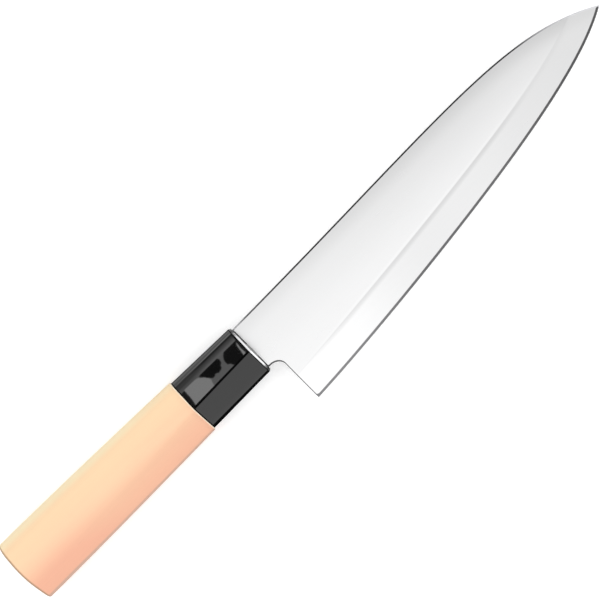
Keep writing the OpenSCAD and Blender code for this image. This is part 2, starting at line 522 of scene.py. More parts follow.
@dataclass(frozen=True)
class PaleWood(Finish):
    """Sanded pale wood: fine straight grain, short pores and darker end grain.

    Places along the wood are shares of its length from the ferrule, and heights are shares of
    half the section's height above its middle. The warm, top and underside colours were set
    against the photo's. The warm colour is partly the wood's own and partly painted shade on
    the lower side, the paler top is painted light, the darker underside is painted shade, and
    the wood by the ferrule is darkened as a painted shadow.
    """

    axis_y: float
    joint_x: float
    butt_x: float
    ior: float = 1.4
    drift: Pattern = Pattern((0.35, 1.0, 1.0), 45.0, 1.0)
    drift_width: float = 6.0 * MM
    drift_height: float = 0.1
    warm_wood_and_shade_colour: Colour = (0.93, 0.485, 0.33)
    warm_wood_and_shade_across: Ramp = Ramp(-13.0 * MM, 9.1 * MM, 1.0, 0.0)
    warm_wood_and_shade_along: Ramp = Ramp(0.45, 0.85, 0.87, 1.22)
    top_light_colour: Colour = (0.97, 0.81, 0.53)
    pale_height: Ramp = Ramp(0.7, 0.92)
    top_light_along: Ramp = Ramp(0.1, 0.3, 0.65, 0.93)
    underside_shade_colour: Colour = (0.66, 0.41, 0.31)
    underside_shade_height: Ramp = Ramp(-0.995, -0.925, 1.0, 0.0)
    underside_shade_rise: float = 0.05
    joint_shade: Ramp = Ramp(0.0, 0.04, 0.95, 1.0)
    grain: Pattern = Pattern((0.02, 1.0, 1.0), 1500.0, 4.0)
    grain_contrast: float = 0.05
    grain_roughness: float = 0.1
    grain_depth: float = 0.012 * MM
    pores: Pattern = Pattern((0.035, 1.0, 1.0), 5200.0, 1.0)
    pore_edge: Ramp = Ramp(0.68, 0.78)
    pore_contrast: float = 0.06
    pore_depth_share: float = 0.6
    eased_edge_colour: Colour = (0.98, 0.86, 0.68)
    end_colour: Colour = (0.42, 0.25, 0.15)

    def dress(self, maker: SurfaceMaker) -> dict[str, object]:
        """Adds the wood's warm colour, the painted light and shade, its grain, pores and end grain.

        Args:
            maker: The maker of the finish's nodes.

        Returns:
            The shader's inputs by name.
        """
        drift, grain = maker.noise(self.drift), maker.noise(self.grain)
        pore = self.pore_edge.of(maker.noise(self.pores))
        across = maker.place(1) - self.axis_y + drift.swing(self.drift_width)
        along = maker.along(self.joint_x, self.butt_x)
        height = maker.attribute("height_share") + drift.swing(self.drift_height)
        # The warm colour is partly the wood's own and partly painted shade on the section's lower
        # side.
        warm = self.warm_wood_and_shade_across.of(across) * self.warm_wood_and_shade_along.of(along)
        # Painted light: the top of the section is paler.
        pale = self.pale_height.of(height) * self.top_light_along.of(along)
        # Painted shade: the underside is darker.
        low = self.underside_shade_height.of(height - along * self.underside_shade_rise)
        # joint_shade paints a shadow beside the ferrule; the grain's swing is the wood's own.
        shade = self.joint_shade.of(along) + grain.swing(self.grain_contrast)
        eased_edge_share, end = maker.edges()
        colour = maker.blend(warm, self.colour, self.warm_wood_and_shade_colour)
        colour = maker.blend(pale, colour, self.top_light_colour)
        colour = maker.blend(low, colour, self.underside_shade_colour)
        colour = maker.tint(colour, shade - pore * self.pore_contrast)
        colour = maker.blend(eased_edge_share, colour, self.eased_edge_colour)
        return {
            "IOR": self.ior,
            "Base Color": maker.blend(end, colour, self.end_colour),
            "Roughness": grain * self.grain_roughness + self.roughness,
            "Normal": maker.relief(grain - pore * self.pore_depth_share, self.grain_depth),
        }


@dataclass(frozen=True)
class CuredResin(Finish):
    """Cured adhesive with a slightly uneven, dull surface."""

    lumps: Pattern = Pattern((1.0, 1.0, 1.0), 1400.0, 3.0)
    lump_contrast: float = 0.4
    lump_depth: float = 0.03 * MM

    def dress(self, maker: SurfaceMaker) -> dict[str, object]:
        """Adds its unevenness.

        Args:
            maker: The maker of the finish's nodes.

        Returns:
            The shader's inputs by name.
        """
        lumps = maker.noise(self.lumps)
        return {
            "Base Color": maker.tint(self.colour, lumps.swing(self.lump_contrast) + 1.0),
            "Normal": maker.relief(lumps, self.lump_depth),
        }


# Pieces, lines and places

def show(name: str, data: bpy.types.ID) -> bpy.types.Object:
    """Puts a mesh, a lamp or a camera into the scene.

    Args:
        name: The object's name.
        data: What the object shows.

    Returns:
        The object.
    """
    thing = bpy.data.objects.new(name, data)
    bpy.context.scene.collection.objects.link(thing)
    return thing


def hand_over(piece: bpy.types.Object, slot: str, *nodes: str) -> bpy.types.Object:
    """Puts a piece on the knife's body and reports it.

    Args:
        piece: The finished piece.
        slot: The record's material slot for the piece; not used.
        nodes: The frame's nodes that it stands for.

    Returns:
        The same piece.
    """
    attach(piece, BODY)
    if nodes:
        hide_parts(*nodes)
    LOG.info("%s: %d faces", piece.name, len(piece.data.polygons))
    return piece


def shade(solid: bmesh.types.BMesh, sharp_degrees: float,
          crease: frozenset[int] = frozenset()) -> None:
    """Smooths a solid's faces and keeps its sharp edges.

    Args:
        solid: The solid.
        sharp_degrees: Edges that turn by more than this are left sharp.
        crease: The material numbers of the faces whose shared edges are left sharp too.
    """
    limit = math.radians(sharp_degrees)
    for face in solid.faces:
        face.smooth = True
    for edge in solid.edges:
        zones = {face.material_index for face in edge.link_faces}
        edge.smooth = not (zones == crease or edge.calc_face_angle(0.0) > limit)


def piece_of(name: str, solid: bmesh.types.BMesh, *finishes: Finish) -> bpy.types.Object:
    """Turns a solid into a piece and lets the solid go.

    Args:
        name: The piece's name.
        solid: The solid.
        finishes: Its finishes, in the order of the faces' material numbers.

    Returns:
        The piece, a plain mesh.
    """
    mesh = bpy.data.meshes.new(name)
    solid.to_mesh(mesh)
    solid.free()
    for finish in finishes:
        mesh.materials.append(finish.material())
    return show(name, mesh)


def between(start: Point, end: Point, share: float) -> Point:
    """Returns the point that lies a share of the way to another."""
    return tuple(a + (b - a) * share for a, b in zip(start, end))


def split(start: Point, end: Point, steps: int) -> list[Point]:
    """Cuts a straight stretch into even steps, both ends included."""
    return [tuple(a + (b - a) * i / steps for a, b in zip(start, end)) for i in range(steps + 1)]


def bent(points: list[Point], steps: int) -> list[Point]:
    """Draws a curve over its control points.

    Args:
        points: The control points of a Bezier curve.
        steps: How many steps it takes.

    Returns:
        The curve's points, both ends included.
    """
    curve = []
    for i in range(steps + 1):
        level = list(points)
        while len(level) > 1:
            level = [between(a, b, i / steps) for a, b in zip(level, level[1:])]
        curve.append(level[0])
    return curve


def quarter_round(radius: float, steps: int) -> list[Point]:
    """Draws a quarter-round edge as pairs of the way in and the inset, from the end on."""
    turns = [math.pi / 2 * i / steps for i in range(steps + 1)]
    return [(radius * (1 - math.sin(a)), radius * (1 - math.cos(a))) for a in reversed(turns)]


def nearest(points: np.ndarray, line: np.ndarray) -> tuple[np.ndarray, np.ndarray]:
    """Measures how far points lie from a line of many short stretches.

    Args:
        points: Pairs of X and Y.
        line: The line's points in order.

    Returns:
        Each point's distance, and how far along the line its nearest place is, from 0 to 1.
    """
    a, b = line[:-1], line[1:]
    span = b - a
    reach = np.maximum((span ** 2).sum(1), TINY)
    away = points[:, None, :] - a[None, :, :]
    along = np.clip((away * span[None]).sum(2) / reach[None], 0, 1)
    gap = np.linalg.norm(away - along[..., None] * span[None], axis=2)
    best = gap.argmin(1)
    rows = np.arange(len(points))
    return gap[rows, best], (best + along[rows, best]) / len(a)


def in_loop(points: np.ndarray, loop: np.ndarray) -> np.ndarray:
    """Says which points lie inside a closed line.

    Args:
        points: Pairs of X and Y.
        loop: The line's points in order, the last of which is its first.

    Returns:
        True for each point that lies inside.
    """
    x, y = points[:, 0:1], points[:, 1:2]
    x0, y0, x1, y1 = loop[:-1, 0], loop[:-1, 1], loop[1:, 0], loop[1:, 1]
    crosses = (y0 > y) != (y1 > y)
    slope = (x1 - x0) / np.where(y1 == y0, TINY, y1 - y0)
    return (crosses & (x < slope * (y - y0) + x0)).sum(1) % 2 == 1


@dataclass
class HandleAxis:
    """Where the frame puts the handle: its axis, the blade's plane and the joints along X."""

    shoulder_x: float
    joint_x: float
    butt_x: float
    axis_y: float
    middle_z: float

    @classmethod
    def from_frame(cls) -> "HandleAxis":
        """Reads the places from the frame's boxes.

        Returns:
            The handle's places.
        """
        ferrule_low, ferrule_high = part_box("ferrule")
        handle_low, handle_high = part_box("handle")
        blade_low, blade_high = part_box("blade")
        return cls(
            shoulder_x=ferrule_high.x,
            joint_x=ferrule_low.x,
            butt_x=handle_low.x,
            axis_y=(handle_low.y + handle_high.y) / 2,
            middle_z=(blade_low.z + blade_high.z) / 2,
        )

    def place(self, back: float = 0.0, up: float = 0.0, out: float = 0.0) -> Vector:
        """Returns a place behind the shoulders, above the axis and out of the blade's plane."""
        return Vector((self.shoulder_x - back, self.axis_y + up, self.middle_z + out))


# Sections and skins

@dataclass(frozen=True)
class Section:
    """Sizes of a D-section: its height, the ridge's rise, the left side's depth, the half width
    of the softened ridge and how far down the height the ridge lies."""

    height: float
    ridge: float
    depth: float
    soft: float
    ridge_down_share: float = 0.54

    def inset(self, by: float) -> "Section":
        """Returns the section that lies a distance inside this one."""
        return replace(self, height=self.height - 2 * by, ridge=self.ridge - by,
                       depth=self.depth - by)

    def towards(self, other: "Section", share: float) -> "Section":
        """Returns the section that lies a share of the way to another."""
        return Section(*between(astuple(self), astuple(other), share))


@dataclass(frozen=True)
class Station:
    """One ring of a skin: where it stands, its section and how much it is drawn in.

    slot_height and slot_width are the half sizes of a flat slot, and slot says how far the ring
    has turned into it. edge marks an eased edge: 1 is the wood's paler eased edge or plastic
    painted dead black as shade, and -1 is end grain or the plastic's chamfer painted bright as
    a highlight.
    """

    x: float
    section: Section
    scale: float = 1.0
    slot: float = 0.0
    slot_height: float = 1.0
    slot_width: float = 1.0
    edge: float = 0.0


class SectionLoft:
    """Geometry Nodes tree that draws a skin through rings of the handle's D-section."""

    UPPER_CORNER_SHARE = 0.49
    UPPER_FLAT_SHARE = 0.2
    LOWER_FLAT_SHARE = 0.87
    LOWER_CORNER_SHARE = 0.13
    CURVES = 5
    ROUND_CURVES = 4
    WHOLE_NUMBER_MARGIN = 1e-4
    LEAST_REACH = 1e-9
    SECTION_FIELDS = ("height", "ridge", "depth", "soft", "ridge_down_share")
    RING_FIELDS = ("scale", "slot", "slot_height", "slot_width", "edge")
    SIZES = {
        "Upper Corner Share": UPPER_CORNER_SHARE,
        "Upper Flat Share": UPPER_FLAT_SHARE,
        "Lower Flat Share": LOWER_FLAT_SHARE,
        "Lower Corner Share": LOWER_CORNER_SHARE,
    }

    def __init__(self, curve_steps: int = 12, sharp_degrees: float = 28.0) -> None:
        """Builds the tree.

        Args:
            curve_steps: Steps along each of the section's curves.
            sharp_degrees: Edges that turn by more than this are left sharp.
        """
        self.curve_steps = curve_steps
        self.sharp_angle = math.radians(sharp_degrees)
        self.tree = bpy.data.node_groups.new("d_section_loft", "GeometryNodeTree")
        self.maker = TreeMaker(self.tree)
        self.sockets: dict[str, str] = {}
        self._build()

    def _socket(self, name: str, kind: str) -> None:
        """Adds a named input to the tree."""
        socket = self.tree.interface.new_socket(name=name, in_out="INPUT", socket_type=kind)
        self.sockets[name] = socket.identifier

    def _build(self) -> None:
        """Lays the whole tree out: rings, their points, merged seams and shading."""
        self._socket("Rings", "NodeSocketGeometry")
        for name in self.SIZES:
            self._socket(name, "NodeSocketFloat")
        self._socket("Curve Steps", "NodeSocketInt")
        self._socket("Sharp Angle", "NodeSocketFloat")
        self._socket("Merge Distance", "NodeSocketFloat")
        self._socket("Material", "NodeSocketMaterial")
        self.tree.interface.new_socket(
            name="Skin", in_out="OUTPUT", socket_type="NodeSocketGeometry")
        maker = self.maker
        group = maker.add("NodeGroupInput")
        self.given = {name: Value(self.tree, group.outputs[name]) for name in self.sockets}

        around = self.given["Curve Steps"] * float(self.CURVES + self.ROUND_CURVES) + 1.0
        rings = maker.value("GeometryNodeAttributeDomainSize", {
            "Geometry": self.given["Rings"]}, out="Point Count")
        grid = maker.add("GeometryNodeMeshGrid", {"Vertices X": rings, "Vertices Y": around})
        index = maker.value("GeometryNodeInputIndex")
        ring = self._whole(index / around)
        self.ring_values = {}
        for name in self.SECTION_FIELDS + self.RING_FIELDS:
            field = maker.add("GeometryNodeInputNamedAttribute", {"Name": name}, data_type="FLOAT")
            self.ring_values[name] = self._sample(ring, field, "FLOAT")
        across, out = self._section_point(index - ring * around)

        base = self._sample(ring, maker.add("GeometryNodeInputPosition"), "FLOAT_VECTOR")
        offset = maker.add("ShaderNodeCombineXYZ", {"Y": across, "Z": out})
        place = maker.add("ShaderNodeVectorMath", {0: base, 1: offset.outputs[0]},
                          operation="ADD")
        skin = maker.add("GeometryNodeSetPosition", {
            "Geometry": grid.outputs["Mesh"], "Position": place.outputs[0]})
        height_share = across / (self.ring_values["height"] * 0.5)
        for name, mark in (("edge", self.ring_values["edge"]), ("height_share", height_share)):
            skin = maker.add("GeometryNodeStoreNamedAttribute", {
                "Geometry": skin.outputs[0], "Name": name, "Value": mark,
            }, data_type="FLOAT", domain="POINT")
        self._finish(skin.outputs[0])

    def _whole(self, value: Value) -> Value:
        """Rounds down, with a margin for whole numbers."""
        return (value + self.WHOLE_NUMBER_MARGIN).call("FLOOR")

    def _sample(self, ring: Value, field: bpy.types.Node, data_type: str) -> Value:
        """Reads a field of the rings for each point of the skin.

        Args:
            ring: The number of the point's ring.
            field: The field's node.
            data_type: The field's type.

        Returns:
            The field's value on that ring.
        """
        return self.maker.value("GeometryNodeSampleIndex", {
            "Geometry": self.given["Rings"], "Value": field.outputs[0], "Index": ring,
        }, data_type=data_type)

    def _section_point(self, step: Value) -> tuple[Value, Value]:
        """Works out a point of the section.

        Args:
            step: The point's number round the ring, from the top down the ridged side.

        Returns:
            The point's height and thickness about the section's middle.
        """
        given, sizes = self.given, self.ring_values
        height, ridge, soft = sizes["height"], sizes["ridge"], sizes["soft"]
        top, nothing = height * 0.5, height * 0.0
        ridge_down = sizes["ridge_down_share"]
        ridge_spot = Spot(top - ridge_down * height, ridge)
        upper = Spot(top, given["Upper Corner Share"] * ridge)
        lower = Spot(top * -1.0, given["Lower Corner Share"] * ridge)
        upper_flat = upper.towards(ridge_spot, given["Upper Flat Share"] / ridge_down)
        lower_share = (given["Lower Flat Share"] - ridge_down) / (1.0 - ridge_down)
        lower_flat = ridge_spot.towards(lower, lower_share)
        ridge_above = ridge_spot.stepped_to(upper, soft)
        ridge_below = ridge_spot.stepped_to(lower, soft)
        curves = (
            (Spot(top, nothing), upper, upper_flat),
            (upper_flat, upper_flat.towards(ridge_above, 0.5), ridge_above),
            (ridge_above, ridge_spot, ridge_below),
            (ridge_below, ridge_below.towards(lower_flat, 0.5), lower_flat),
            (lower_flat, lower, Spot(top * -1.0, nothing)),
        )

        steps = given["Curve Steps"]
        curve = self._whole(step / steps).call("MINIMUM", float(self.CURVES))
        along = step / steps - curve
        picked = [self._pick(curve, spots) for spots in zip(*curves)]
        rest = 1.0 - along
        weights = (rest * rest, rest * along * 2.0, along * along)
        across = sum((spot.across * w for spot, w in zip(picked, weights)), start=0.0)
        out = sum((spot.out * w for spot, w in zip(picked, weights)), start=0.0)

        turn = along * (math.pi / self.ROUND_CURVES)
        is_round = curve.call("GREATER_THAN", self.CURVES - 0.5)
        across = across.towards(top * turn.call("COSINE") * -1.0, is_round)
        out = out.towards(sizes["depth"] * turn.call("SINE") * -1.0, is_round)
        return self._slotted(across * sizes["scale"], out * sizes["scale"])

    def _pick(self, curve: Value, spots: tuple[Spot, ...]) -> Spot:
        """Picks the point that belongs to a curve.

        Args:
            curve: The curve's number.
            spots: The point for each curve in turn.

        Returns:
            The picked point.
        """
        switch = self.maker.add("GeometryNodeIndexSwitch", {}, data_type="VECTOR")
        while len(switch.index_switch_items) < len(spots):
            switch.index_switch_items.new()
        self.maker.feed(switch.inputs[0], curve.call("MINIMUM", float(len(spots) - 1)))
        for place, spot in enumerate(spots, 1):
            vector = self.maker.add("ShaderNodeCombineXYZ", {"Y": spot.across, "Z": spot.out})
            self.maker.feed(switch.inputs[place], vector.outputs[0])
        parts = self.maker.add("ShaderNodeSeparateXYZ", {"Vector": switch.outputs[0]})
        return Spot(*(Value(self.tree, part) for part in parts.outputs[1:]))

    def _slotted(self, across: Value, out: Value) -> tuple[Value, Value]:
        """Draws a point in to the outline of the tang's slot, as far as its ring says.

        Args:
            across: The point's height.
            out: The point's thickness.

        Returns:
            The moved point's height and thickness.
        """
        sizes = self.ring_values
        reach = (across.call("ABSOLUTE") / sizes["slot_height"]).call(
            "MAXIMUM", out.call("ABSOLUTE") / sizes["slot_width"])
        reach = reach.call("MAXIMUM", self.LEAST_REACH)
        return (across.towards(across / reach, sizes["slot"]),
                out.towards(out / reach, sizes["slot"]))

    def _finish(self, skin: bpy.types.NodeSocket) -> None:
        """Merges the seam and the poles, keeps sharp edges sharp and gives the finish.

        Args:
            skin: The skin's socket.
        """
        maker, given = self.maker, self.given
        merged = maker.add("GeometryNodeMergeByDistance", {
            "Geometry": skin, "Distance": given["Merge Distance"]})
        smooth = maker.add("GeometryNodeSetShadeSmooth", {
            "Geometry": merged.outputs[0], "Shade Smooth": True})
        angle = maker.value("GeometryNodeInputMeshEdgeAngle")
        sharp = maker.add("GeometryNodeSetShadeSmooth", {
            "Geometry": smooth.outputs[0],
            "Selection": angle.call("GREATER_THAN", given["Sharp Angle"]),
            "Shade Smooth": False,
        }, domain="EDGE")
        real = maker.add("GeometryNodeRealizeInstances", {"Geometry": sharp.outputs[0]})
        dressed = maker.add("GeometryNodeSetMaterial", {
            "Geometry": real.outputs[0], "Material": given["Material"]})
        maker.add("NodeGroupOutput", {0: dressed.outputs[0]})

    def skin(self, name: str, stations: list[Station], axis: HandleAxis,
             finish: Finish) -> bpy.types.Object:
        """Draws a skin through its rings.

        Args:
            name: The piece's name.
            stations: The rings, in order.
            axis: The handle's places.
            finish: The piece's finish.

        Returns:
            The finished piece, a plain mesh.
        """
        rings = bpy.data.meshes.new(name + "_rings")
        rings.from_pydata([(s.x, axis.axis_y, axis.middle_z) for s in stations], [], [])
        columns = {field: [getattr(s.section, field) for s in stations]
                   for field in self.SECTION_FIELDS}
        columns |= {field: [getattr(s, field) for s in stations] for field in self.RING_FIELDS}
        for field, numbers in columns.items():
            rings.attributes.new(field, "FLOAT", "POINT").data.foreach_set("value", numbers)
        source = show(name + "_rings", rings)
        modifier = source.modifiers.new("loft", "NODES")
        modifier.node_group = self.tree
        inputs = {**self.SIZES, "Curve Steps": self.curve_steps, "Sharp Angle": self.sharp_angle,
                  "Merge Distance": MERGE_DISTANCE, "Material": finish.material()}
        for label, term in inputs.items():
            modifier[self.sockets[label]] = term
        graph = bpy.context.evaluated_depsgraph_get()
        mesh = bpy.data.meshes.new_from_object(
            source.evaluated_get(graph), preserve_all_data_layers=True, depsgraph=graph)
        mesh.name = name
        source.modifiers.remove(modifier)
        bpy.data.objects.remove(source)
        return show(name, mesh)


# Ferrule and handle

@dataclass
class TangSlot:
    """The flat slot round the tang, in half sizes."""

    root_height: float = 6.4 * MM
    end_height: float = 3.4 * MM
    width: float = 1.25 * MM
    depth: float = 86.0 * MM

    def station(self, back: float, shoulder_x: float, section: Section) -> Station:
        """Returns the slot's ring at a distance behind the shoulders."""
        height = self.root_height + (self.end_height - self.root_height) * (back / self.depth)
        return Station(shoulder_x - back, section, 1.0, 1.0, height, self.width)


@dataclass
class Ferrule:
    """The black ferrule: a closed shell with a front wall, a slot and a socket."""

    axis: HandleAxis
    slot: TangSlot
    front: Section = Section(22.4 * MM, 9.0 * MM, 8.0 * MM, 0.4 * MM, 0.516)
    rear: Section = Section(23.6 * MM, 9.5 * MM, 8.4 * MM, 0.4 * MM, 0.558)
    wall: float = 1.7 * MM
    front_wall: float = 3.0 * MM
    rim_run: float = 0.95 * MM
    rim_degrees: float = 26.0
    rim_inner_share: float = 1.25
    rim_outer_share: float = 1.3
    rim_soft_share: float = 0.14
    rim_steps: int = 4
    rear_ease: float = 0.12 * MM
    rear_steps: int = 3
    hold: float = 0.2 * MM
    rear_line: float = 0.3 * MM
    length_rings: int = 10

    # Edge marks of the rim's rings: -1 paints the chamfer bright as a highlight, 1 paints black
    # shade.
    RIM_EDGES = (-1.0, -0.85, 1.0, 1.0, 1.0)

    @property
    def length(self) -> float:
        """Returns the ferrule's length."""
        return self.axis.shoulder_x - self.axis.joint_x

    def section_at(self, back: float) -> Section:
        """Returns the outside's section at a distance behind the mouth."""
        return self.front.towards(self.rear, back / self.length)

    def rim(self) -> list[Point]:
        """Draws the chamfer round the front face.

        Returns:
            Pairs of the way back and the inset, from the face on.
        """
        drop = self.rim_run * math.tan(math.radians(self.rim_degrees))
        face, side = (0.0, drop), (self.rim_run, 0.0)
        inner, outer = (0.0, drop * self.rim_inner_share), (self.rim_run * self.rim_outer_share, 0.0)
        near = between(face, side, self.rim_soft_share)
        far = between(side, face, self.rim_soft_share)
        return bent([inner, face, near], self.rim_steps) + bent([far, side, outer], self.rim_steps)

    def above_ridge(self, back: float, up: float) -> Vector:
        """Finds a place on the ridged side above the ridge.

        Args:
            back: How far behind the mouth it lies.
            up: How far above the handle's axis it lies.

        Returns:
            The place in the frame; below the ridge the upper flat's plane is followed further.
        """
        section = self.section_at(back)
        top, ridge = section.height / 2, section.ridge
        ridge_up = top - section.ridge_down_share * section.height
        corner = ridge * SectionLoft.UPPER_CORNER_SHARE
        flat_up = top - SectionLoft.UPPER_FLAT_SHARE * section.height
        flat_rise = corner + (ridge - corner) * (top - flat_up) / (top - ridge_up)
        rest = math.sqrt(max(top - up, 0.0) / (top - flat_up))
        rise = flat_rise * rest ** 2 + 2 * rest * (1 - rest) * corner
        if up < flat_up:
            rise = corner + (ridge - corner) * (top - up) / (top - ridge_up)
        return self.axis.place(back, up, rise)

    def stations(self) -> list[Station]:
        """Lists the rings.

        Returns:
            The outside from front to rear, then the inside back to the front.
        """
        x0, length, rim = self.axis.shoulder_x, self.length, self.rim()
        edges = dict(enumerate(self.RIM_EDGES, self.rim_steps))
        outside = [Station(x0 - back, self.section_at(back).inset(inset), edge=edges.get(i, 0.0))
                   for i, (back, inset) in enumerate(rim)]
        line = length - self.rear_ease - self.rear_line
        backs = np.linspace(rim[-1][0] + self.hold, line - self.hold / 2, self.length_rings)
        # From the rear line on, and round the rear ease, the rings are painted dead black as shade.
        for back in (*backs, line, line + self.rear_line):
            outside.append(Station(x0 - back, self.section_at(back), edge=float(back >= line)))
        for way, inset in reversed(quarter_round(self.rear_ease, self.rear_steps)[:-1]):
            outside.append(Station(x0 - length + way, self.rear.inset(inset), edge=1.0))
        socket = self.front.inset(self.wall)
        inside = [
            Station(x0 - length, socket),
            Station(x0 - (length + self.front_wall) / 2, socket),
            Station(x0 - self.front_wall, socket),
            self.slot.station(self.front_wall, x0, socket),
            self.slot.station(0.0, x0, socket),
            outside[0],
        ]
        return outside + inside

    def build(self, loft: SectionLoft, finish: Finish) -> bpy.types.Object:
        """Makes the ferrule and puts it in the frame's place."""
        piece = loft.skin("black_ferrule", self.stations(), self.axis, finish)
        return hand_over(piece, "ferrule_plastic", "ferrule")


@dataclass
class WoodenHandle:
    """The D-section wooden handle with its tenon and the blind slot for the tang."""

    axis: HandleAxis
    slot: TangSlot
    front: Section = Section(24.7 * MM, 10.1 * MM, 9.0 * MM, 1.4 * MM)
    butt: Section = Section(27.7 * MM, 12.64 * MM, 9.7 * MM, 8.0 * MM)
    tenon: Section = Section(18.8 * MM, 7.2 * MM, 6.2 * MM, 0.3 * MM)
    tenon_front: float = 3.3 * MM
    shoulder_ease: float = 0.4 * MM
    shoulder_steps: int = 6
    shoulder_edge: float = 0.9
    butt_ease: float = 1.0 * MM
    butt_steps: int = 10
    butt_edge: float = 0.9
    butt_face_edge: float = 0.55
    taper_power: float = 1.6
    length_rings: int = 36
    butt_rings: int = 5

    def section_at(self, back: float, length: float) -> Section:
        """Returns the wood's section at a distance behind the ferrule."""
        taken = min(1.0, back / (length - self.butt_ease))
        return self.front.towards(self.butt, 1 - (1 - taken) ** self.taper_power)

    def stations(self) -> list[Station]:
        """Lists the rings.

        Returns:
            The slot from its end forward, the tenon, the outside and the butt.
        """
        x0, joint = self.axis.shoulder_x, self.axis.joint_x
        length = joint - self.axis.butt_x
        tenon_back = x0 - joint
        end = self.slot.station(self.slot.depth, x0, self.tenon)
        rings = [
            Station(end.x, self.tenon, scale=0.0),
            end,
            self.slot.station((self.slot.depth + self.tenon_front) / 2, x0, self.tenon),
            self.slot.station(self.tenon_front, x0, self.tenon),
            Station(x0 - self.tenon_front, self.tenon),
            Station(x0 - (self.tenon_front + tenon_back) / 2, self.tenon),
            Station(joint, self.tenon),
        ]
        for way, inset in quarter_round(self.shoulder_ease, self.shoulder_steps):
            section = self.section_at(way, length).inset(inset)
            rings.append(Station(joint - way, section, edge=self.shoulder_edge * (inset > 0)))
        span = length - self.butt_ease - self.shoulder_ease
        for i in range(1, self.length_rings + 1):
            back = self.shoulder_ease + span * i / self.length_rings
            rings.append(Station(joint - back, self.section_at(back, length)))
        for way, inset in list(reversed(quarter_round(self.butt_ease, self.butt_steps)))[1:]:
            edge = -min(self.butt_edge, 2 * (1 - way / self.butt_ease))
            rings.append(Station(joint - length + way, self.butt.inset(inset), edge=edge))
        last = replace(rings[-1], edge=-self.butt_face_edge)
        return rings + [replace(last, scale=1 - i / self.butt_rings)
                        for i in range(1, self.butt_rings + 1)]

    def build(self, loft: SectionLoft, finish: Finish) -> bpy.types.Object:
        """Makes the wooden handle and puts it in the frame's place."""
        piece = loft.skin("wooden_handle", self.stations(), self.axis, finish)
        return hand_over(piece, "handle_wood", "handle")


# Blade

class Zone(Enum):
    """Where a face of the blade lies, which is also its material's number."""

    BODY = 0
    # The honed edge's faces take steel painted dark as shade.
    HONE = 1
    # The rim's faces take steel painted near black: painted shade along the spine, heel and neck.
    RIM = 2


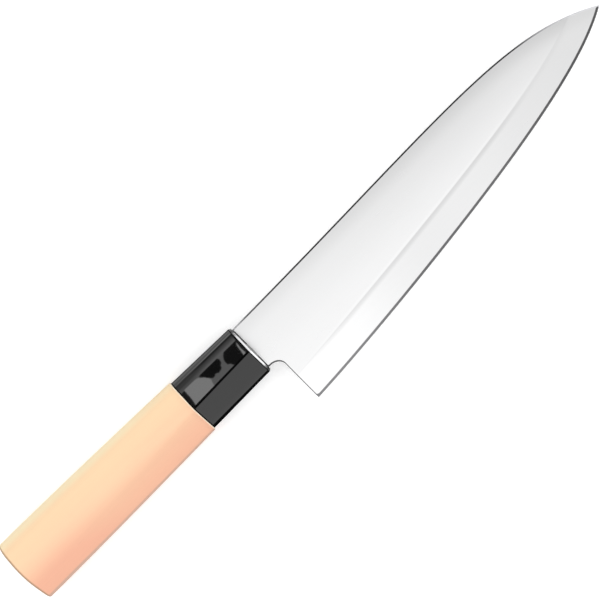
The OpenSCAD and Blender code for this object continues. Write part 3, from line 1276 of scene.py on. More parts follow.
@dataclass
class Blade:
    """The blade with its neck and tang, as a plate whose thickness follows a rule.

    Lengths are in millimetres about the shoulders, the handle's axis and the middle plane,
    until build() puts the blade in its place. The shares for the spine, the edge and the bevel
    are control points: a share of the length, and one of the height or the width at its start.
    """

    axis: HandleAxis
    reach: float
    heel_drop: float
    thickness: float
    neck: float = 5.4
    neck_height: float = 20.2
    neck_low: float = 9.8
    hollow_length: float = 4.5
    hollow_drop: float = 3.6
    bevel: float = 11.4
    hone: float = 1.0
    hone_thickness: float = 0.35
    edge_thickness: float = 0.1
    bevel_soft: float = 1.0
    bevel_hollow: float = 0.1
    spine_round: float = 0.66
    heel_round: float = 0.32
    hollow_round: float = 0.62
    round_share: float = 0.85
    shoulder_line: float = 0.33
    crown_width: float = 5.0
    crown_fall: float = 0.12
    crown_share: float = 0.3
    tang_length: float = 85.0
    tang_root: float = 12.0
    tang_end: float = 6.0
    tang_thickness: float = 1.7
    tang_chamfer: float = 2.0
    grid: float = 1.6
    outline_steps: int = 150
    heel_steps: int = 12
    fillet_steps: int = 14
    shoulder_steps: int = 30
    bevel_steps: int = 64
    sharp_degrees: float = 32.0

    SPINE_SHARES = ((0, 1), (0.61, 1.14), (0.82, 1.89), (1, 0))
    EDGE_SHARES = ((0, -1), (0.25, -0.92), (0.5, -0.703), (0.85, -0.53), (1, 0))
    BEVEL_SHARES = ((0, 1), (1 / 3, 1.12), (2 / 3, 0.9), (1, 0.84))
    HOLLOW_SHARES = (0, 0.9, 1.7)
    ROUND_TURNS = (0, 22, 44, 66)
    SHOULDER_ROWS = (0.0, 0.3, 1.0)
    BEVEL_ROWS = (-1.0, -0.5, 0.0, 0.5, 1.0)
    CROWN_ROWS = (0.25, 0.5, 0.75, 1.0)
    ROW_MARGIN_SHARE = 0.6
    ROW_MARGIN = 0.5
    BEVEL_MARGIN = 0.3
    GAP_STEPS = 4
    FILLING_MARGIN_SHARE = 0.6
    FILLING_GAP_SHARE = 0.45
    FILLING_BATCH = 400
    PLAN_MERGE = 1e-5
    BEHIND_SHOULDERS = -1e-6
    ON_EDGE = 0.01

    @classmethod
    def from_frame(cls, axis: HandleAxis) -> "Blade":
        """Reads the blade's main sizes from the frame's box.

        Args:
            axis: The handle's places.

        Returns:
            The blade.
        """
        low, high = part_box("blade")
        return cls(
            axis=axis,
            reach=(high.x - axis.shoulder_x) / MM,
            heel_drop=(axis.axis_y - low.y) / MM,
            thickness=(high.z - low.z) / MM,
        )

    def spine_line(self) -> np.ndarray:
        """Draws the top of the blade from the shoulders to the tip."""
        points = [(a * self.reach, b * self.neck_height / 2) for a, b in self.SPINE_SHARES]
        return np.array(bent(points, self.outline_steps))

    def edge_line(self) -> np.ndarray:
        """Draws the cutting edge.

        Returns:
            The line from the heel to the tip.
        """
        cut = self.reach - self.neck
        points = [(self.neck + a * cut, b * self.heel_drop) for a, b in self.EDGE_SHARES]
        return np.array(bent(points, self.outline_steps))

    def hollow_line(self) -> np.ndarray:
        """Draws the heel's hollow and the neck's underside.

        Returns:
            The line from the heel's top to the shoulders.
        """
        x, y = self.neck - self.hollow_length, -self.neck_low - self.hollow_drop
        turns = [math.pi / 2 * i / self.fillet_steps for i in range(self.fillet_steps + 1)]
        arc = [(x + self.hollow_length * math.cos(a), y + self.hollow_drop * math.sin(a))
               for a in turns]
        return np.array(arc + [(0.0, -self.neck_low)])

    def heel_line(self) -> np.ndarray:
        """Draws the heel, its hollow and the neck's underside.

        Returns:
            The line from the cutting edge on.
        """
        hollow = self.hollow_line()
        heel = split(self.edge_line()[0], hollow[0], self.heel_steps)
        return np.vstack([heel[:-1], hollow])

    def shoulders(self) -> np.ndarray:
        """Draws the line where the neck meets the ferrule, upwards."""
        ends = (0.0, -self.neck_low), (0.0, self.neck_height / 2)
        return np.array(split(*ends, self.shoulder_steps))

    def shoulder_round(self) -> float:
        """Returns the rounding that takes the neck's thickness down to the tang's."""
        return (self.thickness - self.tang_thickness) / 2

    def tang_line(self) -> list[Point]:
        """Draws the tang.

        Returns:
            The line from the lower shoulder round to the upper one.
        """
        root, end, back = self.tang_root / 2, self.tang_end / 2, -self.tang_length
        cut = self.tang_chamfer
        return [(0.0, -root), (back + cut, -end), (back, cut - end), (back, end - cut),
                (back + cut, end), (0.0, root)]

    def outline(self) -> np.ndarray:
        """Draws the whole outline once round, spine first."""
        return np.array([*self.spine_line(), *self.edge_line()[-2:0:-1], *self.heel_line(),
                         *self.tang_line()])

    def closed_outline(self) -> np.ndarray:
        """Draws the outline with its first point once more at its end."""
        loop = self.outline()
        return np.vstack([loop, loop[:1]])

    def inside(self, points: np.ndarray, margin: float) -> list[Point]:
        """Keeps the points that lie in the blade by a margin.

        Args:
            points: Pairs of X and Y.
            margin: How far inside the outline a point has to lie.

        Returns:
            The points that are kept.
        """
        loop = self.closed_outline()
        gap, _ = nearest(points, loop)
        return [tuple(p) for p in points[in_loop(points, loop) & (gap > margin)]]

    def offset_row(self, line: np.ndarray, by: float | np.ndarray, inward: float,
                   margin: float = ROW_MARGIN) -> list[Point]:
        """Draws a row at a distance inside an outline's stretch.

        Args:
            line: The stretch of the outline.
            by: How far inside the row lies, all along or at each of the stretch's points.
            inward: 1 if the inside is on the stretch's left, and -1 if on its right.
            margin: How far from the outline the row's points stay where the row lies deeper.

        Returns:
            The row's points that lie inside the blade.
        """
        way = np.gradient(line, axis=0)
        way /= np.maximum(np.linalg.norm(way, axis=1), TINY)[:, None]
        by = np.broadcast_to(by, len(line))
        row = line + inward * by[:, None] * np.stack([-way[:, 1], way[:, 0]], axis=1)
        return self.inside(row, min(by.min() * self.ROW_MARGIN_SHARE, margin))

    def heel_rounds(self, along: np.ndarray) -> np.ndarray:
        """Works out the rounding along the heel, which grows in the hollow.

        Args:
            along: Places along the heel's line, from 0 to 1.

        Returns:
            The rounding's radius at each place.
        """
        start = self.heel_steps / (self.heel_steps + self.fillet_steps + 1)
        places = (*(share * start for share in self.HOLLOW_SHARES), 1)
        return np.interp(along, places,
                         (self.heel_round, self.heel_round, self.hollow_round, self.hollow_round))

    def bevel_width(self, along: np.ndarray) -> np.ndarray:
        """Returns the bevel's width at places along the edge."""
        shares = np.array(bent(list(self.BEVEL_SHARES), self.bevel_steps))
        return self.bevel * np.interp(along, shares[:, 0], shares[:, 1])

    def half_thickness(self, points: np.ndarray) -> tuple[np.ndarray, np.ndarray, np.ndarray]:
        """Works out the blade's half thickness.

        Args:
            points: Pairs of X and Y.

        Returns:
            The half thickness, how far each point lies beyond the bevel line, and how far from
            the spine.
        """
        full = self.thickness / 2
        from_edge, along = nearest(points, self.edge_line())
        from_spine, _ = nearest(points, self.spine_line())
        from_heel, along_heel = nearest(points, self.heel_line())

        width = self.bevel_width(along)
        hone_top, edge_top = self.hone_thickness / 2, self.edge_thickness / 2
        up = np.clip((from_edge - self.hone) / (width - self.hone), 0, 2)
        ground = hone_top + (full - hone_top) * up - 4 * self.bevel_hollow * up * (1 - up)
        honed = edge_top + (hone_top - edge_top) * from_edge / self.hone
        beyond = from_edge - width
        soft = self.bevel_soft
        end_slope = (full - hone_top + 4 * self.bevel_hollow) / (width - self.hone)
        eased = full - end_slope * (soft - beyond) ** 2 / (4 * soft)
        ground = np.where(beyond > -soft, eased, ground)
        half = np.where(beyond > soft, full, np.where(from_edge < self.hone, honed, ground))

        crown = np.clip(1 - from_spine / self.crown_width, 0, 1)
        half = half - np.minimum(self.crown_fall * crown ** 2, half * self.crown_share)
        half = self.rounded(half, from_spine, self.spine_round)
        half = self.rounded(half, from_heel, self.heel_rounds(along_heel))
        half = self.rounded(half, np.abs(points[:, 0]), self.shoulder_round())
        tang = points[:, 0] < self.BEHIND_SHOULDERS
        half = np.where(tang, self.tang_thickness / 2, half)
        return half, np.where(tang, self.bevel, beyond), from_spine

    def rounded(self, half: np.ndarray, gap: np.ndarray,
                radius: float | np.ndarray) -> np.ndarray:
        """Rounds the surface over towards a rim.

        Args:
            half: The half thickness before.
            gap: The distance from the rim.
            radius: The rounding's radius, which thin steel makes smaller.

        Returns:
            The half thickness after.
        """
        local = np.minimum(radius, half * self.round_share)
        inside = np.clip(local - gap, 0, None)
        return half - (local - np.sqrt(np.maximum(local ** 2 - inside ** 2, 0)))

    def rows(self) -> list[list[Point]]:
        """Lists the rows of points that the bevel, the hone and the roundings need.

        Returns:
            The rows, each in order along its line.
        """
        spine, edge, heel = self.spine_line(), self.edge_line(), self.heel_line()
        heel_rounds = self.heel_rounds(np.linspace(0, 1, len(heel)))
        widths = self.bevel_width(np.linspace(0, 1, len(edge)))
        rows = []
        for turn in self.ROUND_TURNS:
            depth = 1 - math.sin(math.radians(turn))
            rows.append(self.offset_row(spine, self.spine_round * depth, -1))
            rows.append(self.offset_row(heel, heel_rounds * depth, -1))
        shoulder_rows = [share * self.shoulder_round() for share in self.SHOULDER_ROWS]
        for by in (*shoulder_rows, self.shoulder_line):
            rows.append(self.offset_row(self.shoulders(), by, -1))
        rows.append(self.offset_row(edge, self.hone, 1))
        for share in self.BEVEL_ROWS:
            rows.append(self.offset_row(edge, widths + share * self.bevel_soft, 1,
                                        self.BEVEL_MARGIN))
        for share in self.CROWN_ROWS:
            rows.append(self.offset_row(spine, self.crown_width * share, -1))
        return [row for row in rows if len(row) > 1]

    def filling(self, rows: list[list[Point]]) -> list[Point]:
        """Lists the loose points that keep the triangles even between the rows.

        Args:
            rows: The rows of points.

        Returns:
            The loose points.
        """
        xs = np.arange(-self.tang_length, self.reach, self.grid)
        ys = np.arange(-self.heel_drop, self.neck_height, self.grid)
        places = np.array([(x + (self.grid / 2 if j % 2 else 0), y)
                           for j, y in enumerate(ys) for x in xs])
        kept = np.array(self.inside(places, self.grid * self.FILLING_MARGIN_SHARE))
        taken = np.array([p for row in rows for p in row])
        gap = np.full(len(kept), np.inf)
        for start in range(0, len(taken), self.FILLING_BATCH):
            part = taken[start:start + self.FILLING_BATCH]
            away = np.linalg.norm(kept[:, None, :] - part[None], axis=2).min(1)
            gap = np.minimum(gap, away)
        return [tuple(p) for p in kept[gap > self.grid * self.FILLING_GAP_SHARE]]

    def plan(self) -> tuple[np.ndarray, list[tuple[int, ...]]]:
        """Cuts the blade's outline into triangles.

        Returns:
            The points as X and Y, and the triangles.
        """
        loop, rows = self.outline(), self.rows()
        points = [Vector(p) for p in loop]
        links = []
        for row in rows:
            first = len(points)
            points += [Vector(p) for p in row]
            steps = np.linalg.norm(np.diff(np.array(row), axis=0), axis=1)
            far = self.GAP_STEPS * float(np.median(steps))
            links += [(first + i, first + i + 1) for i, step in enumerate(steps) if step < far]
        points += [Vector(p) for p in self.filling(rows)]
        links += [(i, (i + 1) % len(loop)) for i in range(len(loop))]
        made = delaunay_2d_cdt(points, links, [], 0, self.PLAN_MERGE, False)
        places = np.array([tuple(p) for p in made[0]])
        faces = [tuple(f) for f in made[2]]
        middles = np.array([places[list(f)].mean(0) for f in faces])
        is_inside = in_loop(middles, self.closed_outline())
        return places, [f for f, kept in zip(faces, is_inside) if kept]

    def solid(self) -> bmesh.types.BMesh:
        """Lifts the plan to both sides and closes it all round.

        Returns:
            The blade's mesh in millimetres, with its zones as material numbers.
        """
        points, faces = self.plan()
        half, beyond, spine_gap = self.half_thickness(points)
        zones = self.zones(np.array([points[list(f)].mean(0) for f in faces]))
        mesh = bmesh.new()
        bevel_layer = mesh.verts.layers.float.new("beyond")
        spine_layer = mesh.verts.layers.float.new("spine_gap")
        sides = []
        for sign in (1, -1):
            sides.append([mesh.verts.new((x, y, sign * h)) for (x, y), h in zip(points, half)])
            for vert, past, gap in zip(sides[-1], beyond, spine_gap):
                vert[bevel_layer] = past
                vert[spine_layer] = gap
        for face, zone in zip(faces, zones):
            for ring, order in ((sides[0], face), (sides[1], tuple(reversed(face)))):
                mesh.faces.new([ring[i] for i in order]).material_index = zone.value
        self.close_rim(mesh, faces, sides, points)
        bmesh.ops.recalc_face_normals(mesh, faces=mesh.faces)
        return mesh

    def zones(self, places: np.ndarray) -> list[Zone]:
        """Says which zone each place belongs to.

        Args:
            places: Pairs of X and Y.

        Returns:
            The zones.
        """
        from_edge, _ = nearest(places, self.edge_line())
        from_spine, _ = nearest(places, self.spine_line())
        from_heel, along_heel = nearest(places, self.heel_line())
        beyond_heel = from_heel - self.heel_rounds(along_heel)
        picked = []
        for x, edge, spine, heel in zip(places[:, 0], from_edge, from_spine, beyond_heel):
            # The strip by the shoulders and the rounds of the spine and the heel are painted dark as
            # RIM.
            if x < self.shoulder_line or spine < self.spine_round or heel < 0:
                picked.append(Zone.RIM)
            else:
                picked.append(Zone.HONE if edge < self.hone else Zone.BODY)
        return picked

    def close_rim(self, mesh: bmesh.types.BMesh, faces: list[tuple[int, ...]],
                  sides: list[list[bmesh.types.BMVert]], points: np.ndarray) -> None:
        """Joins the two sides by a wall along the plan's open edges.

        Args:
            mesh: The blade's mesh.
            faces: The plan's triangles.
            sides: The vertices of the right and the left side.
            points: The plan's points.
        """
        seen = {}
        for face in faces:
            for a, b in zip(face, face[1:] + face[:1]):
                key = (min(a, b), max(a, b))
                seen[key] = None if key in seen else (a, b)
        rim = [pair for pair in seen.values() if pair]
        from_edge, _ = nearest(np.array([(points[a] + points[b]) / 2 for a, b in rim]),
                               self.edge_line())
        for (a, b), gap in zip(rim, from_edge):
            wall = mesh.faces.new([sides[0][b], sides[0][a], sides[1][a], sides[1][b]])
            wall.material_index = (Zone.HONE if gap < self.ON_EDGE else Zone.RIM).value

    def build(self, body: Finish, hone: Finish, rim: Finish) -> bpy.types.Object:
        """Makes the blade and puts it in the frame's place.

        Args:
            body: The finish of the flats and the bevel.
            hone: The finish of the honed edge, painted dark as shade.
            rim: The finish of the spine, the heel and the tang, painted near black as shade.

        Returns:
            The finished piece.
        """
        solid = self.solid()
        shade(solid, self.sharp_degrees, frozenset({Zone.BODY.value, Zone.HONE.value}))
        origin = self.axis.place()
        for vert in solid.verts:
            vert.co = vert.co * MM + origin
        return hand_over(piece_of("steel_blade", solid, body, hone, rim), "blade_steel", "blade")


@dataclass
class MouthBead:
    """The bead of adhesive that swelled out of the ferrule's mouth on each flat."""

    axis: HandleAxis
    blade_thickness: float
    length: float = 7.0 * MM
    run: float = 0.55 * MM
    rise: float = 0.5 * MM
    sunk: float = 0.05 * MM
    middle_y: float = -0.85 * MM
    fullness: float = 0.7
    steps_along: int = 24
    steps_over: int = 8
    sharp_degrees: float = 50.0

    def build(self, finish: Finish) -> bpy.types.Object:
        """Makes both beads as one piece.

        Args:
            finish: The adhesive's finish.

        Returns:
            The finished piece.
        """
        solid = bmesh.new()
        for sign in (1, -1):
            self.swell(solid, sign)
        bmesh.ops.remove_doubles(solid, verts=solid.verts, dist=MERGE_DISTANCE)
        bmesh.ops.recalc_face_normals(solid, faces=solid.faces)
        shade(solid, self.sharp_degrees)
        return hand_over(piece_of("mouth_bead", solid, finish), "adhesive")

    def swell(self, solid: bmesh.types.BMesh, sign: int) -> None:
        """Adds the bead on one flat, as a lens that bulges forward and outward.

        Args:
            solid: The solid that the bead goes into.
            sign: 1 for the right flat and -1 for the left.
        """
        flat = self.axis.middle_z + sign * self.blade_thickness / 2
        mouth, low = self.axis.shoulder_x, flat - sign * self.sunk
        rows = []
        for i in range(self.steps_along + 1):
            share = i / self.steps_along
            size = math.sin(math.pi * share) ** self.fullness if 0 < share < 1 else 0.0
            y = self.axis.axis_y + self.middle_y + self.length * (share - 0.5)
            row = [(mouth - self.sunk, y, low),
                   (mouth - self.sunk, y, flat + sign * self.rise * size)]
            for j in range(self.steps_over + 1):
                turn = math.pi / 2 * j / self.steps_over
                row.append((mouth + self.run * size * math.sin(turn), y,
                            flat + sign * self.rise * size * math.cos(turn)))
            row.append((row[-1][0], y, low))
            rows.append([solid.verts.new(p) for p in row])
        for near, far in zip(rows, rows[1:]):
            for j in range(len(near)):
                k = (j + 1) % len(near)
                solid.faces.new([near[j], near[k], far[k], far[j]])
        solid.faces.new(rows[0])
        solid.faces.new(rows[-1])


# Studio

@dataclass(frozen=True)
class Patch:
    """A shape on a panel: corners behind the mouth and above the axis in mm, its glow, how far
    it spreads past the corners and the softness of its edge."""

    corners: tuple[Point, ...]
    glow: float
    spread: float = 0.0
    soft: float = 0.15

    def share(self, places: np.ndarray) -> np.ndarray:
        """Works out how much of the shape covers each place.

        Args:
            places: Pairs of the way back and up, in mm.

        Returns:
            A share from 0 to 1 for each place.
        """
        loop = np.array(self.corners + self.corners[:1])
        gap, _ = nearest(places, loop)
        signed = np.where(in_loop(places, loop), gap, -gap)
        return np.clip(0.5 + (signed + self.spread) / self.soft, 0, 1)


def glow_grid(name: str, points: list[Vector], wide: int, glow: np.ndarray) -> bpy.types.Object:
    """Makes a light from a grid of points that carry their own glow.

    Args:
        name: The light's name.
        points: The grid's points, row by row.
        wide: How many points a row has.
        glow: Each point's radiance.

    Returns:
        The light, which other light passes through.
    """
    mesh = bpy.data.meshes.new(name)
    mesh.from_pydata(points, [], [(i, i + 1, i + wide + 1, i + wide)
                                  for i in range(len(points) - wide) if (i + 1) % wide])
    mesh.attributes.new("glow", "FLOAT", "POINT").data.foreach_set("value", glow)
    material = bpy.data.materials.new("panel_glow")
    maker = SurfaceMaker(material)
    emission = maker.add("ShaderNodeEmission", {"Strength": maker.attribute("glow")})
    maker.surface(maker.both(emission, maker.add("ShaderNodeBsdfTransparent")))
    mesh.materials.append(material)
    return show(name, mesh)


@dataclass
class MirrorPanel:
    """A softbox with flags before it, hung where the camera sees it in the ferrule's upper side.

    The patches' corners were read off the reflections in the photo and the glow was changed
    until the render came near it, so the reflections fit the photo's view alone.
    The lines of glow pair a height above the axis in mm with a radiance, at the panel's front
    and rear, and the rear span says where between them the one turns into the other.
    """

    ferrule: Ferrule
    camera: Vector
    distance: float = 80.0 * MM
    back_span: Point = (-0.5, 31.0)
    up_span: Point = (-1.6, 9.9)
    step: float = 0.15
    probe_back: float = 1.0 * MM
    probe_up: float = 0.05 * MM

    FRONT_GLOW = ((6, 2.1), (6.6, 2.4), (7, 2.1), (7.5, 1.35), (8, 1.05), (8.5, 0.65), (8.8, 0.28),
                  (9, 0.15), (9.2, 0.4), (9.4, 1.0), (10, 1.2))
    REAR_GLOW = ((6, 2.1), (6.9, 1.7), (7.5, 1.25), (8, 0.75), (8.5, 0.9), (9, 0.5), (9.5, 0.8),
                 (10, 1.77))
    REAR_SPAN = (16, 24)
    PATCHES = (
        Patch(((19, -3), (19, 0.4), (18.4, 2.2), (18.6, 3), (19.1, 3.9), (19.6, 4.5), (20.4, 5),
               (21.1, 5.4), (21.6, 6), (22.5, 6.3), (24.1, 6.5), (25.9, 6.7), (28.4, 6.7),
               (28.7, 6.2), (28.7, 4), (28.9, 3), (29, 2), (29.3, 0), (29.4, -3)), 4.3),
        Patch(((3.3, -3), (3.4, 0), (3.3, 1), (3.1, 2), (3, 3), (2.9, 4), (2.6, 5), (2.1, 6.1),
               (7.9, 6.1), (8.6, 5.5), (9.1, 5), (9.7, 4.1), (9.9, 3.3), (9.9, 2), (8.9, 1.4),
               (8.5, 0.6), (8.2, -0.5), (7, -3)), 0.08, 0.22),
        Patch(((11.8, 6.2), (11.3, 5.4), (11.6, 4.2), (12.5, 3.6), (12.8, 2.8), (13.2, 2.5),
               (14.6, 2.2), (15, 2.6), (16.1, 2.8), (16.5, 2.4), (17.4, 2.3), (18.5, 3.4),
               (19.1, 4.1), (19.7, 4.9), (20.4, 5.5), (20.7, 6), (20, 6.2)), 0.06, 0.32),
        Patch(((1.9, 5.3), (2.3, 5.1), (2.6, 4.4), (2.8, 3.4), (2.9, 2), (3.1, 1), (3.2, -0.6),
               (1.9, -0.6)), 4.8),
        Patch(((-1, 12), (-1, -3), (2, -3), (2.1, 1), (2.2, 2), (2.3, 3), (2.1, 4), (2, 6),
               (1.6, 7.2), (1.5, 12)), 0.2),
        Patch(((28.6, 6.3), (28.7, 4.5), (28.7, 3), (28.9, 1), (29.1, 0), (29.2, -3), (32, -3),
               (32, 6.3)), 0.15),
    )

    def place(self, back: float, up: float) -> Vector:
        """Follows the camera's ray on from a place of the side, after its reflection.

        Args:
            back: How far behind the mouth the place is.
            up: How far above the axis it is.

        Returns:
            Where the ray gets to at the panel's distance.
        """
        here = self.ferrule.above_ridge(back, up)
        along = self.ferrule.above_ridge(back + self.probe_back, up) - here
        across = self.ferrule.above_ridge(back, up + self.probe_up) - here
        normal = along.cross(across).normalized()
        return here + (here - self.camera).normalized().reflect(normal) * self.distance

    def build(self) -> bpy.types.Object:
        """Makes the panel.

        Returns:
            The panel, for the caller to link to the ferrule.
        """
        backs = np.arange(*self.back_span, self.step)
        ups = np.arange(*self.up_span, self.step)
        spots = np.array([(b, u) for u in ups for b in backs])
        front, rear = (np.interp(spots[:, 1], *np.array(line).T)
                       for line in (self.FRONT_GLOW, self.REAR_GLOW))
        glow = front + (rear - front) * np.interp(spots[:, 0], self.REAR_SPAN, (0, 1))
        for patch in self.PATCHES:
            glow += (patch.glow - glow) * patch.share(spots)
        points = [self.place(b * MM, u * MM) for b, u in spots]
        return glow_grid("flagged_softbox", points, len(backs), glow)


class Lit(Enum):
    """Which pieces a lamp lights: one alone, or all but one."""

    ONLY = "INCLUDE"
    ALL_BUT = "EXCLUDE"


@dataclass
class Studio:
    """Camera, floor, surroundings and lamps. None of it belongs to the knife.

    The arch's glow pairs a lean off the upright, in degrees, with a radiance.
    """

    axis: HandleAxis
    camera_ahead: float = 26.26 * MM
    camera_rise: float = 750.0 * MM
    picture_turn: float = 44.6
    lens: float = 118.6
    floor_size: float = 4.0
    floor_tone: float = 0.9
    floor_glow: float = 0.3
    floor_gloss_glow: float = 0.25
    ambient: float = 0.32
    overhead: float = 1.0
    overhead_size: float = 4.0
    overhead_rise: float = 1.1
    tent_wall: float = 0.65
    tent_spine_wall: float = 1.5
    tent_spine_side: Point = (0.5, 0.9)
    tent_roof: float = 0.05
    tent_lean: float = 0.2
    roof_edge: float = 0.316
    roof_soft: float = 0.04
    wall_distance: float = 1.9
    wall_half_turn: float = 37.0
    wall_top: float = 35.0
    wall_glow: float = 0.85
    arch_distance: float = 350.0 * MM
    arch_half_turn: float = 6.0
    card_rise: float = 0.1 * MM
    card_gap: float = 0.4 * MM
    card_width: float = 300.0 * MM
    card_overlap: float = 20.0 * MM
    floor_shade_card_width: float = 12.0 * MM
    floor_shade_card_tone: float = 0.3

    ARCH_GLOW = ((-42, 0.67), (-25, 0.67), (0, 0.95), (8, 1.14), (22, 1.14), (34, 0.2), (36, 0.2))

    def camera_place(self) -> Vector:
        """Returns where the camera stands."""
        return self.axis.place(-self.camera_ahead, 0.0, self.camera_rise)

    def camera(self) -> None:
        """Stands the camera over the knife, looking straight down."""
        data = bpy.data.cameras.new("camera")
        data.lens = self.lens
        camera = show("camera", data)
        camera.location = self.camera_place()
        camera.rotation_euler = (0.0, 0.0, -math.radians(self.picture_turn))
        bpy.context.scene.camera = camera

    def world(self) -> None:
        """Makes the surroundings: white to the camera, a tent to gloss, even light to the rest."""
        world = bpy.data.worlds.new("tent")
        maker = SurfaceMaker(world)
        seen, gloss = maker.rays()
        direction = maker.add("ShaderNodeTexCoord").outputs["Generated"]
        way = maker.add("ShaderNodeSeparateXYZ", {"Vector": direction})
        aside, up = (Value(maker.tree, output) for output in way.outputs[1:])
        wall = Ramp(*self.tent_spine_side, self.tent_wall, self.tent_spine_wall).of(aside)
        edge = Ramp(self.roof_edge - self.roof_soft, self.roof_edge + self.roof_soft)
        roof = edge.of(up + aside * self.tent_lean)
        tent = wall + (self.tent_roof - wall) * roof
        indoors = (1.0 - gloss) * self.ambient + gloss * tent
        maker.surface(maker.add("ShaderNodeBackground", {
            "Color": (1.0, 1.0, 1.0, 1.0),
            "Strength": seen + (1.0 - seen) * indoors,
        }), "ShaderNodeOutputWorld")
        bpy.context.scene.world = world

    def sheet(self, name: str, low: Triple, high: Triple,
              material: bpy.types.Material) -> bpy.types.Object:
        """Lays a flat sheet.

        Args:
            name: The sheet's name.
            low: Its corner with the least X and Y, and its height.
            high: The corner across from it.
            material: Its material.

        Returns:
            The sheet.
        """
        data = bpy.data.meshes.new(name)
        (x0, y0, z), (x1, y1, _) = low, high
        data.from_pydata([(x0, y0, z), (x1, y0, z), (x1, y1, z), (x0, y1, z)], [], [(0, 1, 2, 3)])
        data.materials.append(material)
        return show(name, data)

    def floor(self) -> None:
        """Lays a white floor that keeps the knife's soft shadow."""
        half = self.floor_size / 2
        material = bpy.data.materials.new("white_floor")
        maker = SurfaceMaker(material)
        seen, gloss = maker.rays()
        tone = self.floor_tone
        diffuse = maker.add("ShaderNodeBsdfDiffuse", {"Color": (tone, tone, tone, 1.0)})
        maker.surface(maker.both(diffuse, maker.add("ShaderNodeEmission", {
            "Strength": seen * self.floor_glow + gloss * self.floor_gloss_glow})))
        self.sheet("floor", (-half, -half, 0), (half, half, 0), material)

    def softbox(self, name: str, place: Vector, aim: Vector, size: float,
                radiance: float) -> bpy.types.Object:
        """Hangs a square soft lamp.

        Args:
            name: The lamp's name.
            place: Where it hangs.
            aim: What it faces.
            size: Its side.
            radiance: How bright its face is; 1 is white.

        Returns:
            The lamp.
        """
        data = bpy.data.lights.new(name, "AREA")
        data.shape = "SQUARE"
        data.size = size
        data.energy = radiance * math.pi * size * size
        lamp = show(name, data)
        lamp.location = place
        lamp.rotation_euler = (aim - place).to_track_quat("-Z", "Y").to_euler()
        return lamp

    def light(self, lamp: bpy.types.Object, lit: Lit, piece: bpy.types.Object) -> None:
        """Keeps a lamp's light on one piece alone, or off that one.

        Args:
            lamp: The lamp.
            lit: Which of the two it is.
            piece: The piece.
        """
        chosen = bpy.data.collections.new(f"{lamp.name}_{lit.name.lower()}")
        chosen.objects.link(piece)
        lamp.light_linking.receiver_collection = chosen
        for entry in chosen.collection_objects:
            entry.light_linking.link_state = lit.value

    def wall(self, turns: int = 37, rises: int = 35) -> bpy.types.Object:
        """Stands the brighter wall that the ferrule's lower side reflects.

        Args:
            turns: Steps round the wall.
            rises: Steps up the wall.

        Returns:
            The wall, which glows as far up as the tent's own wall does.
        """
        places, glows = [], []
        end = self.wall_half_turn
        for rise in np.radians(np.linspace(0, self.wall_top, rises + 1)):
            for turn in np.radians(np.linspace(-end, end, turns + 1)):
                way = Vector((math.sin(turn) * math.cos(rise), -math.cos(turn) * math.cos(rise),
                              math.sin(rise)))
                over = (way.z + way.y * self.tent_lean - self.roof_edge) / self.roof_soft
                inner = 2 * (end - abs(math.degrees(turn))) / end
                glows.append(self.smooth(0.5 - over / 2) * self.smooth(inner) * self.wall_glow)
                places.append(way * self.wall_distance)
        return glow_grid("wall_light", places, turns + 1, np.array(glows))

    @staticmethod
    def smooth(share: float) -> float:
        """Eases a share from 0 to 1 and holds its ends."""
        share = min(max(share, 0.0), 1.0)
        return share * share * (3 - 2 * share)

    def arch(self, shape: Ferrule, steps: int = 39) -> bpy.types.Object:
        """Bends the strip light that the camera sees all along the chamfer of the mouth.

        Args:
            shape: The ferrule's sizes.
            steps: How many pieces the strip has.

        Returns:
            The strip light.
        """
        mouth = self.axis.place(out=shape.front.ridge)
        look = (mouth - self.camera_place()).normalized()
        points = []
        marks, glows = np.array(self.ARCH_GLOW).T
        leans = np.linspace(marks[0], marks[-1], steps + 1)
        for lean in np.radians(leans):
            for side in (-1, 1):
                turn = math.radians(shape.rim_degrees + side * self.arch_half_turn)
                normal = Vector((math.sin(turn), math.cos(turn) * math.sin(lean),
                                 math.cos(turn) * math.cos(lean)))
                points.append(mouth + look.reflect(normal) * self.arch_distance)
        return glow_grid("arch_light", points, 2, np.repeat(np.interp(leans, marks, glows), 2))

    def card(self, name: str, tone: float, low: float, high: float) -> None:
        """Lays a card on the floor beside the ferrule, which its edge reflects.

        Args:
            name: The card's name.
            tone: How bright it is, from 0 to 1.
            low: Where it begins along Y.
            high: Where it ends along Y.
        """
        finish = Finish(name, (tone, tone, tone), 1.0)
        self.for_gloss(self.sheet(
            name, (self.axis.joint_x - self.card_overlap, low, self.card_rise),
            (self.axis.shoulder_x, high, self.card_rise), finish.material()))

    def for_gloss(self, thing: bpy.types.Object) -> None:
        """Leaves a thing of the studio to be seen in reflections alone.

        Args:
            thing: The light or the card.
        """
        thing.visible_camera = False
        thing.visible_diffuse = False
        thing.visible_shadow = False

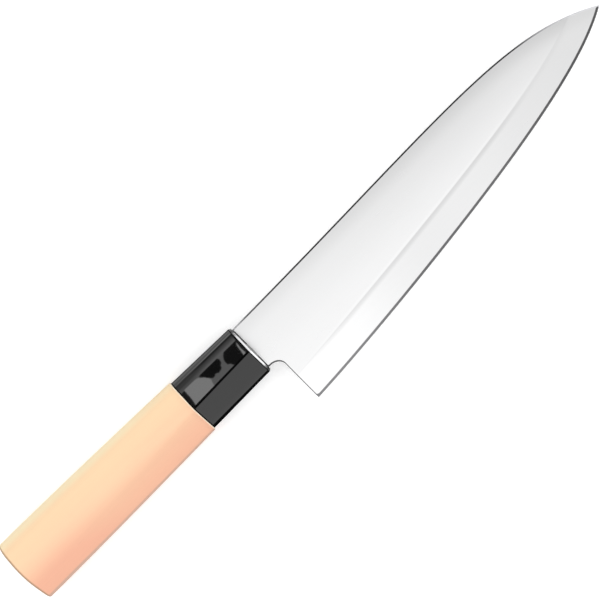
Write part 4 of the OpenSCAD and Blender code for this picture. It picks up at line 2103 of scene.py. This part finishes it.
    def build(self, shape: Ferrule, ferrule: bpy.types.Object) -> None:
        """Sets the whole studio up.

        Args:
            shape: The ferrule's sizes.
            ferrule: The polished piece that reflects its own lamps.
        """
        self.camera()
        self.world()
        self.floor()
        overhead = self.softbox("overhead", Vector((0.0, 0.0, self.overhead_rise)),
                                self.axis.place(), self.overhead_size, self.overhead)
        self.light(overhead, Lit.ALL_BUT, ferrule)
        panel = MirrorPanel(shape, self.camera_place()).build()
        for lamp in (panel, self.arch(shape), self.wall()):
            self.for_gloss(lamp)
            self.light(lamp, Lit.ONLY, ferrule)
        below = self.axis.axis_y - shape.front.height / 2 - self.card_gap
        above = self.axis.axis_y + shape.rear.height / 2 + self.card_gap
        self.card("black_card", 0.0, below - self.card_width, below)
        # This grey sheet stands in for the floor's shade beside the ferrule, seen only in its
        # reflection.
        self.card("floor_shade_card", self.floor_shade_card_tone, above, above + self.floor_shade_card_width)
        bpy.context.scene.view_settings.view_transform = "Standard"
        LOG.info("studio: camera, floor, surroundings and lamps")


def main() -> None:
    """Builds the knife's pieces and the studio in order."""
    logging.basicConfig(level=logging.INFO, format="%(name)s: %(message)s")
    axis = HandleAxis.from_frame()
    slot = TangSlot()
    loft = SectionLoft()

    wood = PaleWood("pale_wood", colour=(0.95, 0.68, 0.425), roughness=0.5,
                    axis_y=axis.axis_y, joint_x=axis.joint_x, butt_x=axis.butt_x)
    WoodenHandle(axis, slot).build(loft, wood)
    plastic = GlossPlastic("black_plastic", colour=(0.003, 0.003, 0.0031), roughness=0.03)
    shape = Ferrule(axis, slot)
    ferrule = shape.build(loft, plastic)

    blade = Blade.from_frame(axis)
    ends = {"heel_x": axis.shoulder_x, "tip_x": axis.shoulder_x + blade.reach * MM}
    blade.build(
        SatinSteel("satin_steel", colour=(0.92, 0.92, 0.923), roughness=0.3, **ends),
        # The honed edge and the rim are steel painted dark: painted shade along edge, spine, heel
        # and neck.
        PaintedShadeSteel("honed_steel_painted_shade", colour=(0.16, 0.16, 0.163), roughness=0.35, **ends,
                    heel_tone=Ramp(0.1, 0.4, 1.6, 1.0), tip_tone=Ramp(0.6, 0.85, 1.0, 0.66)),
        PaintedShadeSteel("edge_steel", colour=(0.04, 0.04, 0.041), roughness=0.35, **ends,
                    heel_tone=Ramp(0.03, 0.18, 3.0, 1.0), tip_tone=Ramp(0.79, 0.95, 1.0, 18.0)),
    )
    resin = CuredResin("cured_resin", colour=(0.36, 0.36, 0.36), roughness=0.55)
    MouthBead(axis, blade.thickness * MM).build(resin)
    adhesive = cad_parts["tang_adhesive"]
    adhesive.data.materials.clear()
    adhesive.data.materials.append(resin.material())
    LOG.info("tang_adhesive: the frame's own solid, in cured resin")

    Studio(axis).build(shape, ferrule)


if __name__ == "__main__":
    main()
